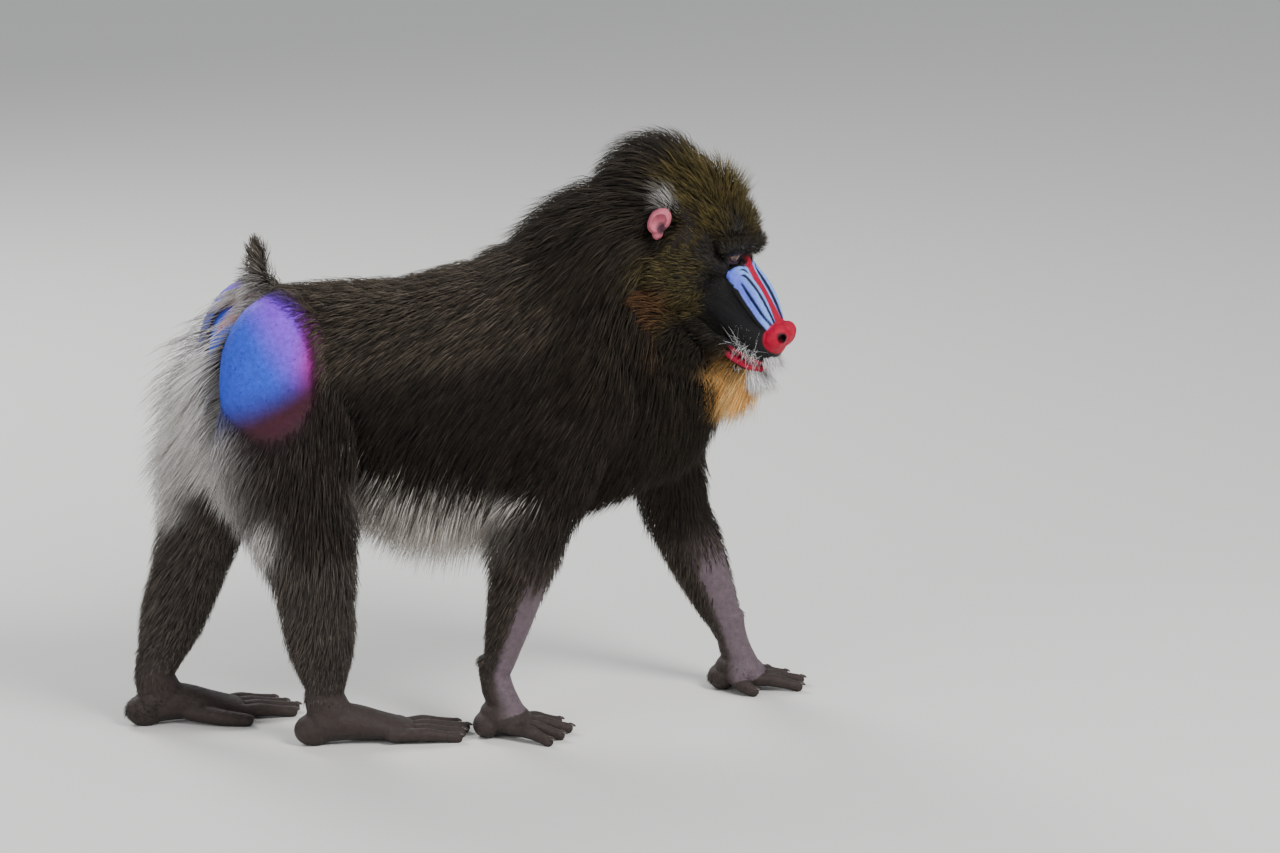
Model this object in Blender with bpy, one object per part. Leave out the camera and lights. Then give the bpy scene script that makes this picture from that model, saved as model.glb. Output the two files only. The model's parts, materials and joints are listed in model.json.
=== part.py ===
"""A life-size adult male mandrill in mid-stride, head turned to its right.

Metres, +Z up. The animal walks along +X, its left side is +Y, and the origin is on the floor
under the middle of its outline. The flesh is blocked out in lofts and balls, fused and
smoothed, dressed with locks, and then parted at the joints by thin cuts.
"""
import math
import random

import bmesh
import bpy
import numpy as np
from mathutils import Matrix, Vector
from mathutils.bvhtree import BVHTree
from mathutils.kdtree import KDTree

GAP = 0.0003            # between touching pieces
LOCK_GAP = 0.0009       # between a lock and the other nodes it passes
TOUCHING = 0.000001     # two points closer than this touch
UNSTICK = 0.00003
LOCK_ROOT = 0.002       # how far a lying lock's underside goes into the skin
LOCK_STEP = 0.000017    # added from one lock to the next, so that no two cuts lie in one face
SOLE_CUT = 0.0022       # how far hands and feet are sunk before the floor trims them
SEED = 7
FACE = ("nose", "ridge", "eye")

# Driving dimensions: the skeleton's joints, in the body frame
HIP = {"right": (-0.248, -0.068, 0.425), "left": (-0.262, 0.066, 0.425)}
KNEE = {"right": (-0.214, -0.092, 0.235), "left": (-0.322, 0.082, 0.255)}
ANKLE = {"right": (-0.199, -0.062, 0.070), "left": (-0.392, 0.070, 0.072)}
SHOULDER = {"right": (0.140, -0.078, 0.440), "left": (0.232, 0.072, 0.440)}
ELBOW = {"right": (0.060, -0.094, 0.275), "left": (0.278, 0.086, 0.238)}
WRIST = {"right": (0.012, -0.072, 0.082), "left": (0.345, 0.076, 0.066)}
FOOT_YAW = {"right": 2.0, "left": 8.0}
HAND_YAW = {"right": -8.0, "left": 4.0}
FOOT_LENGTH = 0.228
HAND_LENGTH = 0.105     # heel of the hand to fingertips, as it stands
TAIL_BASE = (-0.262, 0.0, 0.552)
TAIL_TIP = (-0.268, 0.0, 0.632)
TAIL_GIRTH = 0.017

# The head has its own frame: forward along the palate line, +Y left, +Z up
HEAD_AT = (0.258, -0.010, 0.636)
HEAD_YAW = -37.0
HEAD_PITCH = 30.0
EYE_AT = (0.088, 0.0215, 0.004)
EYE_RADIUS = 0.0105
HEAD_CUT = (0.212, -0.005, 0.600)
HEAD_CUT_NORMAL = (0.92, -0.34, 0.19)

# Rings of mane locks: centre, lean, radii, angles from the top, length, lift of the tips
MANE_RINGS = (
    ((0.222, 0.004, 0.620), 0.45, (0.056, 0.094), (-24, 12, 52, 92), 0.092, 0.034),
    ((0.175, 0.002, 0.584), 0.60, (0.080, 0.106), (-100, -66, -33, 0, 33, 66, 100), 0.098, 0.030),
    ((0.128, 0.000, 0.538), 0.75, (0.096, 0.108),
     (-112, -82, -52, -24, 4, 32, 60, 88, 116), 0.096, 0.026),
    ((0.085, 0.000, 0.490), 0.80, (0.104, 0.116),
     (-98, -68, -38, -10, 18, 46, 74, 102), 0.088, 0.016),
)
# Locks of the head in its own frame: spot, heading, (length, width, thickness), lift
CROWN_LOCKS = tuple(
    ((x, y, z), (-1.0, y * 2.0, rise), (length, 0.040, 0.010), lift)
    for x, z, ys, rise, length, lift in (
        (0.062, 0.066, (-0.016, 0.016), 0.10, 0.062, 0.012),
        (0.026, 0.076, (-0.034, 0.0, 0.034), 0.00, 0.070, 0.012),
        (-0.014, 0.072, (-0.026, 0.026), -0.25, 0.076, 0.013),
        (-0.050, 0.058, (-0.034, 0.0, 0.034), -0.50, 0.078, 0.018),
    ) for y in ys)
RUFF_LOCKS = (
    ((0.052, 0.072, -0.056), (-1.0, 0.22, -0.30), (0.066, 0.042, 0.008), 0.011),
    ((0.044, 0.070, -0.092), (-0.9, 0.22, -0.70), (0.064, 0.042, 0.008), 0.012),
    ((0.018, 0.082, -0.070), (-1.0, 0.28, -0.50), (0.066, 0.044, 0.008), 0.014),
)
BEARD_ROWS = ((0.116, 0.011, 0.046), (0.140, 0.015, 0.062), (0.166, 0.010, 0.060))

# Base colour and roughness of each kind of surface
LOOKS = {
    "coat": ((0.085, 0.072, 0.060), 0.85),
    "beard_hair": ((0.66, 0.36, 0.10), 0.80),
    "hand_skin": ((0.070, 0.055, 0.050), 0.60),
    "ear_skin": ((0.52, 0.25, 0.26), 0.60),
    "nose_skin": ((0.66, 0.02, 0.05), 0.45),
    "ridge_skin": ((0.22, 0.38, 0.74), 0.45),
    "rump_skin": ((0.12, 0.20, 0.66), 0.55),
    "eye_glass": ((0.16, 0.07, 0.02), 0.05),
}
SLOTS = {"beard": "beard_hair", "hand": "hand_skin", "foot": "hand_skin", "ear": "ear_skin",
         "nose": "nose_skin", "ridge": "ridge_skin", "rump": "rump_skin", "eye": "eye_glass"}

# Trunk: distance along +X, then back, belly and half width at each place
TRUNK = (
    (-0.305, 0.540, 0.430, 0.062),
    (-0.262, 0.572, 0.385, 0.092),
    (-0.205, 0.574, 0.345, 0.102),
    (-0.140, 0.574, 0.312, 0.106),
    (-0.070, 0.578, 0.280, 0.112),
    (0.000, 0.590, 0.268, 0.117),
    (0.070, 0.604, 0.262, 0.119),
    (0.140, 0.606, 0.268, 0.116),
    (0.205, 0.588, 0.288, 0.108),
    (0.262, 0.540, 0.330, 0.084),
)
# Neck with the packed under-part of its mane: centre, half width, half depth
NECK = (
    ((0.070, 0.000, 0.470), 0.105, 0.120),
    ((0.120, 0.000, 0.530), 0.098, 0.110),
    ((0.165, 0.002, 0.580), 0.080, 0.106),
    ((0.205, 0.006, 0.612), 0.058, 0.096),
    ((0.235, 0.000, 0.632), 0.050, 0.080),
)


def mesh_object(name, verts, faces):
    mesh = bpy.data.meshes.new(name)
    mesh.from_pydata([tuple(v) for v in verts], [], faces)
    mesh.update()
    obj = bpy.data.objects.new(name, mesh)
    bpy.context.scene.collection.objects.link(obj)
    return obj


def remove(obj):
    bpy.data.objects.remove(obj, do_unlink=True)


def apply_modifiers(obj):
    """The object's mesh becomes what its modifiers make of it."""
    graph = bpy.context.evaluated_depsgraph_get()
    mesh = bpy.data.meshes.new_from_object(obj.evaluated_get(graph))
    obj.modifiers.clear()
    obj.data = mesh
    return obj


def smooth_path(points, steps=4):
    """A Catmull-Rom curve through rows of numbers, with steps pieces for each span."""
    rows = np.array(points, float)
    ends = np.vstack([2 * rows[0] - rows[1], rows, 2 * rows[-1] - rows[-2]])
    made = []
    for i in range(len(rows) - 1):
        a, b, c, d = ends[i:i + 4]
        for k in range(steps):
            t = k / steps
            made.append(0.5 * (2 * b + (c - a) * t + (2 * a - 5 * b + 4 * c - d) * t * t
                               + (3 * b - a - 3 * c + d) * t ** 3))
    made.append(rows[-1])
    return np.array(made)


def loft(name, stations, side=(0, 1, 0), sides=20, dome=0.7, steps=4):
    """A closed tube through (centre, half width, half depth) stations, with domed ends."""
    rows = [(*centre, wide, deep) for centre, wide, deep in stations]
    rows = smooth_path(rows, steps) if len(rows) > 2 else np.array(rows, float)
    tangents = np.gradient(rows[:, :3], axis=0)
    tangents /= np.linalg.norm(tangents, axis=1)[:, None]
    rings = []

    def ring(centre, tangent, wide, deep):
        across = np.array(side, float) - np.dot(side, tangent) * tangent
        across /= np.linalg.norm(across)
        other = np.cross(tangent, across)
        turn = [2 * math.pi * k / sides for k in range(sides)]
        return [centre + across * wide * math.cos(a) + other * deep * math.sin(a) for a in turn]

    for end, sign in ((0, -1), (len(rows) - 1, 1)):
        reach = dome * min(rows[end, 3], rows[end, 4])
        domes = [ring(rows[end, :3] + sign * tangents[end] * reach * math.sin(a), tangents[end],
                      rows[end, 3] * math.cos(a), rows[end, 4] * math.cos(a))
                 for a in (0.45, 0.9, 1.3)]
        if sign < 0:
            rings += domes[::-1]
            rings += [ring(r[:3], t, r[3], r[4]) for r, t in zip(rows, tangents)]
        else:
            rings += domes
    verts = [p for r in rings for p in r]
    faces = []
    for i in range(len(rings) - 1):
        for k in range(sides):
            n = (k + 1) % sides
            faces.append((i * sides + k, i * sides + n, (i + 1) * sides + n, (i + 1) * sides + k))
    faces.append(tuple(range(sides))[::-1])
    faces.append(tuple((len(rings) - 1) * sides + k for k in range(sides)))
    return mesh_object(name, verts, faces)


def ball(name, centre, radii, turn=(0, 0, 0), detail=(20, 12)):
    """An ellipsoid with its radii along axes turned by the three angles, in degrees."""
    mesh = bpy.data.meshes.new(name)
    shape = bmesh.new()
    bmesh.ops.create_uvsphere(shape, u_segments=detail[0], v_segments=detail[1], radius=1.0)
    euler = Matrix.Rotation(math.radians(turn[2]), 4, "Z") \
        @ Matrix.Rotation(math.radians(turn[1]), 4, "Y") \
        @ Matrix.Rotation(math.radians(turn[0]), 4, "X")
    shape.transform(Matrix.Translation(centre) @ euler @ Matrix.Diagonal((*radii, 1)))
    shape.to_mesh(mesh)
    shape.free()
    obj = bpy.data.objects.new(name, mesh)
    bpy.context.scene.collection.objects.link(obj)
    return obj


def join(name, pieces):
    """One object that holds all the pieces' faces."""
    shape = bmesh.new()
    for piece in pieces:
        part = piece.data.copy()
        part.transform(piece.matrix_world)
        shape.from_mesh(part)
        remove(piece)
    mesh = bpy.data.meshes.new(name)
    shape.to_mesh(mesh)
    shape.free()
    obj = bpy.data.objects.new(name, mesh)
    bpy.context.scene.collection.objects.link(obj)
    return obj


def fuse(name, pieces, voxel, soften, triangles=None, place=None):
    """Melts overlapping pieces into one smooth skin, and thins it to so many triangles."""
    obj = join(name, pieces)
    remesh = obj.modifiers.new("fuse", "REMESH")
    remesh.mode = "VOXEL"
    remesh.voxel_size = voxel
    remesh.adaptivity = 0.0
    smooth = obj.modifiers.new("soften", "SMOOTH")
    smooth.factor = 0.5
    smooth.iterations = soften
    apply_modifiers(obj)
    if triangles:
        thin = obj.modifiers.new("thin", "DECIMATE")
        thin.ratio = triangles / (2.0 * len(obj.data.polygons))
        thin.use_collapse_triangulate = True
        apply_modifiers(obj)
    if place is not None:
        obj.data.transform(place)
    return obj


def heal(obj):
    """Melts the specks and slivers that cuts leave, wherever the surface stays closed."""
    for speck in (0.00003, 0.00001):
        shape = bmesh.new()
        shape.from_mesh(obj.data)
        bmesh.ops.triangulate(shape, faces=shape.faces)
        bmesh.ops.remove_doubles(shape, verts=shape.verts, dist=speck)
        bmesh.ops.dissolve_degenerate(shape, dist=speck / 2, edges=shape.edges)
        bmesh.ops.triangulate(shape, faces=shape.faces)
        closed = all(len(e.link_faces) == 2 for e in shape.edges)
        if closed:
            shape.to_mesh(obj.data)
        shape.free()
        if closed:
            break
    return obj


def plane_off(obj):
    """Merges triangles that lie almost in one plane, if the surface stays closed."""
    shape = bmesh.new()
    shape.from_mesh(obj.data)
    bmesh.ops.dissolve_limit(shape, angle_limit=math.radians(1.5), verts=shape.verts,
                             edges=shape.edges)
    bmesh.ops.triangulate(shape, faces=shape.faces)
    if all(len(e.link_faces) == 2 for e in shape.edges):
        shape.to_mesh(obj.data)
    shape.free()
    return obj


def unstick(obj):
    """Opens the places where a surface touches itself, by hundredths of a millimetre."""
    for way in (-1, 1.7, -2.3, 3.1):
        points = [v.co.copy() for v in obj.data.vertices]
        normals = [v.normal.copy() for v in obj.data.vertices]
        search = KDTree(len(points))
        for k, point in enumerate(points):
            search.insert(point, k)
        search.balance()
        touching = [k for k, point in enumerate(points)
                    if len(search.find_range(point, TOUCHING)) > 1]
        if not touching:
            break
        for k in touching:
            obj.data.vertices[k].co = points[k] + normals[k] * UNSTICK * way
    return obj


def boolean(obj, others, operation, solver="MANIFOLD"):
    """Joins or cuts obj with closed meshes, which are then removed."""
    group = bpy.data.collections.new("with")
    bpy.context.scene.collection.children.link(group)
    for other in others:
        group.objects.link(other)
        bpy.context.scene.collection.objects.unlink(other)
    step = obj.modifiers.new(operation, "BOOLEAN")
    step.operation = operation
    step.operand_type = "COLLECTION"
    step.collection = group
    step.solver = solver
    apply_modifiers(obj)
    for other in others:
        remove(other)
    bpy.data.collections.remove(group)
    return obj


def islands(obj):
    """The pieces joined edge to edge, each as a list of face indices with its signed volume."""
    mesh = obj.data
    owner = list(range(len(mesh.polygons)))

    def root(i):
        while owner[i] != i:
            owner[i] = owner[owner[i]]
            i = owner[i]
        return i

    met = {}
    for face in mesh.polygons:
        for k in face.edge_keys:
            if k in met:
                owner[root(face.index)] = root(met[k])
            else:
                met[k] = face.index
    mesh.calc_loop_triangles()
    volume = {}
    for tri in mesh.loop_triangles:
        key = root(tri.polygon_index)
        a, b, c = (mesh.vertices[i].co for i in tri.vertices)
        volume[key] = volume.get(key, 0.0) + a.dot(b.cross(c)) / 6
    groups = {}
    for face in mesh.polygons:
        groups.setdefault(root(face.index), []).append(face.index)
    return [(groups[key], volume[key]) for key in groups]


def lift_island(obj, faces, name):
    """A new object from some faces of obj, as triangles."""
    mesh = obj.data
    used = sorted({i for f in faces for i in mesh.polygons[f].vertices})
    new = {old: i for i, old in enumerate(used)}
    made = mesh_object(name, [mesh.vertices[i].co for i in used],
                       [tuple(new[i] for i in mesh.polygons[f].vertices) for f in faces])
    shape = bmesh.new()
    shape.from_mesh(made.data)
    bmesh.ops.triangulate(shape, faces=shape.faces)
    shape.to_mesh(made.data)
    shape.free()
    return made


def keep_largest(obj):
    """Only the largest closed body stays, so that no sealed hollow or scrap is left."""
    name = obj.name
    faces = max(islands(obj), key=lambda item: item[1])[0]
    made = lift_island(obj, faces, name + "_kept")
    remove(obj)
    made.name = name
    return made


def slice_disc(centre, normal, radius):
    """A thin round cutter that parts what it crosses."""
    mesh = bpy.data.meshes.new("slice")
    shape = bmesh.new()
    bmesh.ops.create_cone(shape, cap_ends=True, segments=24, radius1=radius, radius2=radius,
                          depth=GAP)
    turn = Vector((0, 0, 1)).rotation_difference(Vector(normal)).to_matrix().to_4x4()
    shape.transform(Matrix.Translation(centre) @ turn)
    shape.to_mesh(mesh)
    shape.free()
    obj = bpy.data.objects.new("slice", mesh)
    bpy.context.scene.collection.objects.link(obj)
    return obj


def between(a, b, share):
    return tuple(np.array(a) * (1 - share) + np.array(b) * share)


def head_frame():
    """The matrix from the head's own frame to the body's."""
    return Matrix.Translation(HEAD_AT) @ Matrix.Rotation(math.radians(HEAD_YAW), 4, "Z") \
        @ Matrix.Rotation(math.radians(HEAD_PITCH), 4, "Y")


def trunk_pieces():
    rows = [((x, 0.0, (top + low) / 2), wide, (top - low) / 2) for x, top, low, wide in TRUNK]
    return [
        loft("trunk", rows, sides=28, dome=0.6),
        ball("chest", (0.232, 0.010, 0.400), (0.082, 0.090, 0.108)),
        ball("withers", (0.080, 0.0, 0.560), (0.110, 0.080, 0.062), (0, -12, 0)),
        ball("shoulder", (0.150, -0.070, 0.420), (0.070, 0.042, 0.100)),
        ball("shoulder", (0.185, 0.072, 0.420), (0.070, 0.040, 0.100)),
    ]


def leg_pieces(side):
    sign = -1 if side == "right" else 1
    hip, knee, ankle = HIP[side], KNEE[side], ANKLE[side]
    return [
        ball("buttock", (hip[0] - 0.004, sign * 0.055, hip[2] + 0.028), (0.078, 0.058, 0.118)),
        ball("thigh", (hip[0] + 0.030, sign * 0.072, hip[2] - 0.040), (0.080, 0.056, 0.115),
             (0, 12, 0)),
        loft("leg", [
            (between(hip, knee, -0.05), 0.052, 0.076),
            (between(hip, knee, 0.30), 0.054, 0.076),
            (between(hip, knee, 0.65), 0.048, 0.068),
            (knee, 0.043, 0.061),
            (between(knee, ankle, 0.30), 0.041, 0.056),
            (between(knee, ankle, 0.60), 0.038, 0.056),
            (between(knee, ankle, 0.82), 0.032, 0.047),
            (between(knee, ankle, 1.06), 0.025, 0.031),
        ]),
    ]


def arm_pieces(side):
    shoulder, elbow, wrist = SHOULDER[side], ELBOW[side], WRIST[side]
    return [
        ball("shoulder", between(shoulder, elbow, 0.05), (0.070, 0.046, 0.092)),
        loft("arm", [
            (between(shoulder, elbow, -0.05), 0.036, 0.062),
            (between(shoulder, elbow, 0.40), 0.040, 0.062),
            (between(shoulder, elbow, 0.75), 0.038, 0.054),
            (elbow, 0.038, 0.050),
            (between(elbow, wrist, 0.30), 0.037, 0.047),
            (between(elbow, wrist, 0.60), 0.031, 0.041),
            (between(elbow, wrist, 0.85), 0.024, 0.032),
            (between(elbow, wrist, 1.08), 0.021, 0.024),
        ]),
    ]


def foot_pieces():
    """A right foot from the heel at the origin along +X, its outer side to -Y."""
    pieces = [
        loft("shin", [((0.040, 0, 0.084), 0.020, 0.026), ((0.038, 0, 0.062), 0.022, 0.027),
                      ((0.044, 0, 0.040), 0.022, 0.030)], dome=0.5),
        ball("heel", (0.026, 0, 0.023), (0.030, 0.021, 0.024)),
        loft("instep", [((0.030, 0, 0.030), 0.022, 0.026), ((0.070, 0, 0.028), 0.024, 0.024),
                        ((0.110, 0, 0.020), 0.029, 0.018), ((0.142, 0, 0.014), 0.033, 0.013)],
             dome=0.6),
    ]
    for k in range(4):
        spread = 0.021 - 0.0155 * k
        start = (0.128 - 0.004 * k, spread, 0.014)
        reach = FOOT_LENGTH - 0.006 - 0.009 * abs(k - 1)
        pieces.append(loft("toe", [
            (start, 0.0088, 0.0095),
            ((start[0] + (reach - start[0]) * 0.45, spread * 1.25, 0.0135), 0.0076, 0.0085),
            ((reach - 0.006, spread * 1.35, 0.0080), 0.0070, 0.0072)], sides=12, dome=0.9))
    pieces.append(loft("big_toe", [((0.078, 0.016, 0.018), 0.012, 0.012),
                                   ((0.112, 0.040, 0.013), 0.0105, 0.0105),
                                   ((0.142, 0.050, 0.009), 0.0090, 0.0085)], sides=12, dome=0.9))
    return pieces


def hand_pieces():
    """A right hand from below the wrist at the origin along +X, its outer side to -Y."""
    pieces = [
        loft("wrist", [((-0.002, 0, 0.080), 0.018, 0.020), ((0.004, 0, 0.055), 0.023, 0.022),
                       ((0.020, 0, 0.026), 0.029, 0.019)],
             dome=0.6),
        ball("palm", (0.012, 0, 0.026), (0.034, 0.029, 0.024), (0, 18, 0)),
        ball("heel_pad", (-0.012, -0.004, 0.018), (0.018, 0.022, 0.017)),
    ]
    for k in range(4):
        spread = 0.019 - 0.0135 * k
        fan = 0.30 * (1.0 - k)
        start = np.array((0.024 - 0.003 * abs(k - 1), spread, 0.018))
        reach = HAND_LENGTH * 0.62 - 0.006 * abs(k - 1)
        ahead = np.array((math.cos(fan), math.sin(fan), 0.0))
        pieces.append(loft("finger", [
            (tuple(start), 0.0088, 0.0100),
            (tuple(start + ahead * reach * 0.50 + np.array((0, 0, -0.003))), 0.0078, 0.0088),
            (tuple(start + ahead * reach + np.array((0, 0, -0.010))), 0.0068, 0.0070)],
            sides=12, dome=0.9))
    pieces.append(loft("thumb", [((-0.004, 0.018, 0.024), 0.010, 0.011),
                                 ((0.006, 0.036, 0.014), 0.0085, 0.0095),
                                 ((0.016, 0.044, 0.0085), 0.0072, 0.0075)], sides=12, dome=0.9))
    return pieces


def muzzle_top(along):
    """Height of the muzzle's upper line in the head frame at a distance along it, 0 to 1."""
    return 0.002 - 0.046 * along


def rib_point(side, along, across, lift=0.0):
    """A point on the ribbed swelling beside the nose: along it, and from its inner edge out."""
    back = 0.107 - 0.001 * across
    reach = 0.072
    wide = (0.80 + 0.30 * math.sin(math.pi * min(1.0, along + 0.12))) * (1 - 0.22 * along)
    y = 0.0108 + 0.0250 * across * wide
    z = muzzle_top(along) + 0.0035 - 0.0175 * across ** 2.2 + lift
    return (back + reach * along, -y if side == "right" else y, z)


def head_pieces():
    pieces = [
        ball("vault", (0.012, 0, 0.028), (0.080, 0.058, 0.045)),
        ball("back", (-0.030, 0, 0.016), (0.070, 0.062, 0.058)),
        ball("forehead", (0.058, 0, 0.034), (0.044, 0.044, 0.036)),
        loft("muzzle", [((0.060, 0, -0.052), 0.046, 0.054), ((0.100, 0, -0.051), 0.037, 0.047),
                        ((0.130, 0, -0.058), 0.034, 0.042), ((0.160, 0, -0.067), 0.031, 0.034),
                        ((0.180, 0, -0.075), 0.027, 0.027)], sides=24, dome=0.7),
        loft("jaw", [((0.045, 0, -0.088), 0.046, 0.030), ((0.090, 0, -0.106), 0.036, 0.022),
                     ((0.135, 0, -0.112), 0.028, 0.018), ((0.174, 0, -0.108), 0.021, 0.016)],
             sides=24, dome=0.8),
        loft("brow", [((0.083, -0.040, 0.013), 0.010, 0.011), ((0.096, -0.022, 0.0215), 0.010, 0.010),
                      ((0.099, 0.0, 0.0215), 0.010, 0.010), ((0.096, 0.022, 0.0215), 0.010, 0.010),
                      ((0.083, 0.040, 0.013), 0.010, 0.011)], side=(0, 0, 1), sides=12),
        loft("nose_root", [((0.080, 0, 0.008), 0.012, 0.014), ((0.112, 0, -0.012), 0.010, 0.010),
                           ((0.176, 0, -0.052), 0.012, 0.010)], sides=12),
    ]
    for sign in (-1, 1):
        pieces += [
            ball("cheek", (0.042, sign * 0.040, -0.036), (0.046, 0.032, 0.062), (0, 0, sign * 8)),
            ball("ruff", (0.022, sign * 0.050, -0.066), (0.046, 0.030, 0.046), (0, 20, sign * 8)),
            loft("cheek_bone", [((0.040, sign * 0.058, -0.012), 0.014, 0.016),
                                ((0.070, sign * 0.050, -0.012), 0.013, 0.015),
                                ((0.090, sign * 0.034, -0.013), 0.010, 0.010)], side=(0, 0, 1)),
            loft("lip", [((0.118, sign * 0.031, -0.093), 0.006, 0.007),
                         ((0.150, sign * 0.030, -0.092), 0.006, 0.007),
                         ((0.178, sign * 0.023, -0.090), 0.006, 0.007),
                         ((0.196, sign * 0.008, -0.089), 0.006, 0.007)], side=(0, 0, 1), sides=12),
        ]
    return pieces


def eye_mound(side):
    """Lids and socket rim, a ball a little larger than the eye."""
    sign = -1 if side == "right" else 1
    return ball("lids", (EYE_AT[0] - 0.0005, sign * EYE_AT[1], EYE_AT[2]),
                (EYE_RADIUS + 0.0030, EYE_RADIUS + 0.0036, EYE_RADIUS + 0.0026))


def eye_opening(side):
    sign = -1 if side == "right" else 1
    slit = ball("opening", (EYE_AT[0] + 0.011, sign * (EYE_AT[1] + 0.0008), EYE_AT[2] - 0.0004),
                (0.0100, 0.0094, 0.0052), (0, 0, sign * 10), (12, 8))
    socket = ball("socket", (EYE_AT[0], sign * EYE_AT[1], EYE_AT[2]), [EYE_RADIUS + 3 * GAP] * 3,
                  detail=(12, 8))
    return [slit, socket]


def mouth_line():
    """A thin curved cutter that draws the line between the lips."""
    rows = []
    for k in range(15):
        turn = math.pi * (k / 14 - 0.5)
        rows.append(((0.125 + 0.0705 * math.cos(turn) ** 0.7, -0.0335 * math.sin(turn),
                      -0.0985 - 0.0030 * math.cos(turn)), 0.0013, 0.0055))
    return loft("mouth", rows, side=(0, 0, 1), sides=8, steps=1, dome=0.4)


def ridge_pieces(side):
    """The long ribs of one swelling beside the nose."""
    ribs = 6
    made = []
    for k in range(ribs):
        across = k / (ribs - 1)
        girth = 0.0052 - 0.0006 * abs(across - 0.4)
        rows = []
        for along in (0.0, 0.25, 0.5, 0.75, 1.0):
            swell = girth * (0.72 + 0.34 * math.sin(math.pi * min(1.0, along + 0.1)))
            rows.append((rib_point(side, along, across, -0.0045), swell, swell * 1.15))
        made.append(loft("rib", rows, sides=12, dome=0.8))
    return made


def nose_pieces():
    return [
        loft("stripe", [((0.100, 0, -0.0020), 0.0050, 0.0075), ((0.125, 0, -0.0150), 0.0058, 0.0080),
                        ((0.150, 0, -0.0290), 0.0066, 0.0090), ((0.174, 0, -0.0450), 0.0100, 0.0120)],
             sides=14, dome=0.7),
        ball("pad", (0.182, 0, -0.0580), (0.0175, 0.0200, 0.0190), (0, 20, 0)),
        ball("wing", (0.183, -0.0135, -0.0580), (0.0150, 0.0100, 0.0150), (0, 20, 0)),
        ball("wing", (0.183, 0.0135, -0.0580), (0.0150, 0.0100, 0.0150), (0, 20, 0)),
    ]


def nostrils():
    return [ball("nostril", (0.1985, sign * 0.0115, -0.0570), (0.0100, 0.0046, 0.0058),
                 (0, 25, sign * -24), (8, 6)) for sign in (-1, 1)]


def ear(side):
    """The cup of one ear, its root sunk in the head."""
    sign = -1 if side == "right" else 1
    cup = ball("ear_" + side, (-0.008, sign * 0.0700, -0.002), (0.0155, 0.0105, 0.0225),
               (sign * 8, -12, sign * -24), (12, 8))
    hollow = ball("hollow", (-0.0015, sign * 0.0810, -0.001), (0.0105, 0.0105, 0.0165),
                  (sign * 8, -12, sign * -24), (10, 6))
    return boolean(cup, [hollow], "DIFFERENCE")


def grown(obj, by):
    """A copy with its surface moved out along its normals."""
    made = bpy.data.objects.new(obj.name + "_grown", obj.data.copy())
    bpy.context.scene.collection.objects.link(made)
    normals = [v.normal.copy() for v in made.data.vertices]
    for v, n in zip(made.data.vertices, normals):
        v.co += n * by
    return made


def cut_clear(obj, hosts):
    """Trims obj where it would cross other pieces."""
    return boolean(obj, [grown(h, GAP) for h in hosts], "DIFFERENCE")


def part_at(obj, cuts, names):
    """Parts a limb at thin cuts; its pieces are named from the top down."""
    boolean(obj, cuts, "DIFFERENCE")
    found = sorted(islands(obj), key=lambda item: -item[1])[:len(names)]
    height = {id(faces): sum(obj.data.polygons[f].center.z for f in faces) / len(faces)
              for faces, _ in found}
    found.sort(key=lambda item: -height[id(item[0])])
    made = [lift_island(obj, faces, name) for (faces, _), name in zip(found, names)]
    remove(obj)
    return made


def material(name, colour, roughness, metallic=0.0):
    made = bpy.data.materials.new(name)
    made.use_nodes = True
    shader = next(n for n in made.node_tree.nodes if n.type == "BSDF_PRINCIPLED")
    shader.inputs["Base Color"].default_value = (*colour, 1.0)
    shader.inputs["Roughness"].default_value = roughness
    shader.inputs["Metallic"].default_value = metallic
    made.diffuse_color = (*colour, 1.0)
    return made


def standing(pieces, at, yaw, flip, back):
    """Sets a foot or hand on the floor under its joint."""
    place = Matrix.Translation((at[0], at[1], -SOLE_CUT)) @ Matrix.Rotation(math.radians(yaw), 4, "Z") \
        @ Matrix.Translation((back, 0, 0)) @ Matrix.Diagonal((1, flip, 1, 1))
    for piece in pieces:
        piece.data.transform(place)
        if flip < 0:
            piece.data.flip_normals()
    return pieces


def floor_cut():
    return box("floor", (0, 0, -0.05), (1.4, 0.8, 0.05))


def box(name, centre, halves):
    x, y, z = halves
    verts = [(centre[0] + a * x, centre[1] + b * y, centre[2] + c * z)
             for a in (-1, 1) for b in (-1, 1) for c in (-1, 1)]
    faces = [(0, 1, 3, 2), (4, 6, 7, 5), (0, 4, 5, 1), (2, 3, 7, 6), (0, 2, 6, 4), (1, 5, 7, 3)]
    return mesh_object(name, verts, faces)


def tree_of(objects):
    """A search tree over the skins of several objects."""
    verts, faces = [], []
    for obj in objects:
        start = len(verts)
        verts += [v.co.copy() for v in obj.data.vertices]
        faces += [tuple(start + i for i in f.vertices) for f in obj.data.polygons]
    return BVHTree.FromPolygons(verts, faces)


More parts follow.
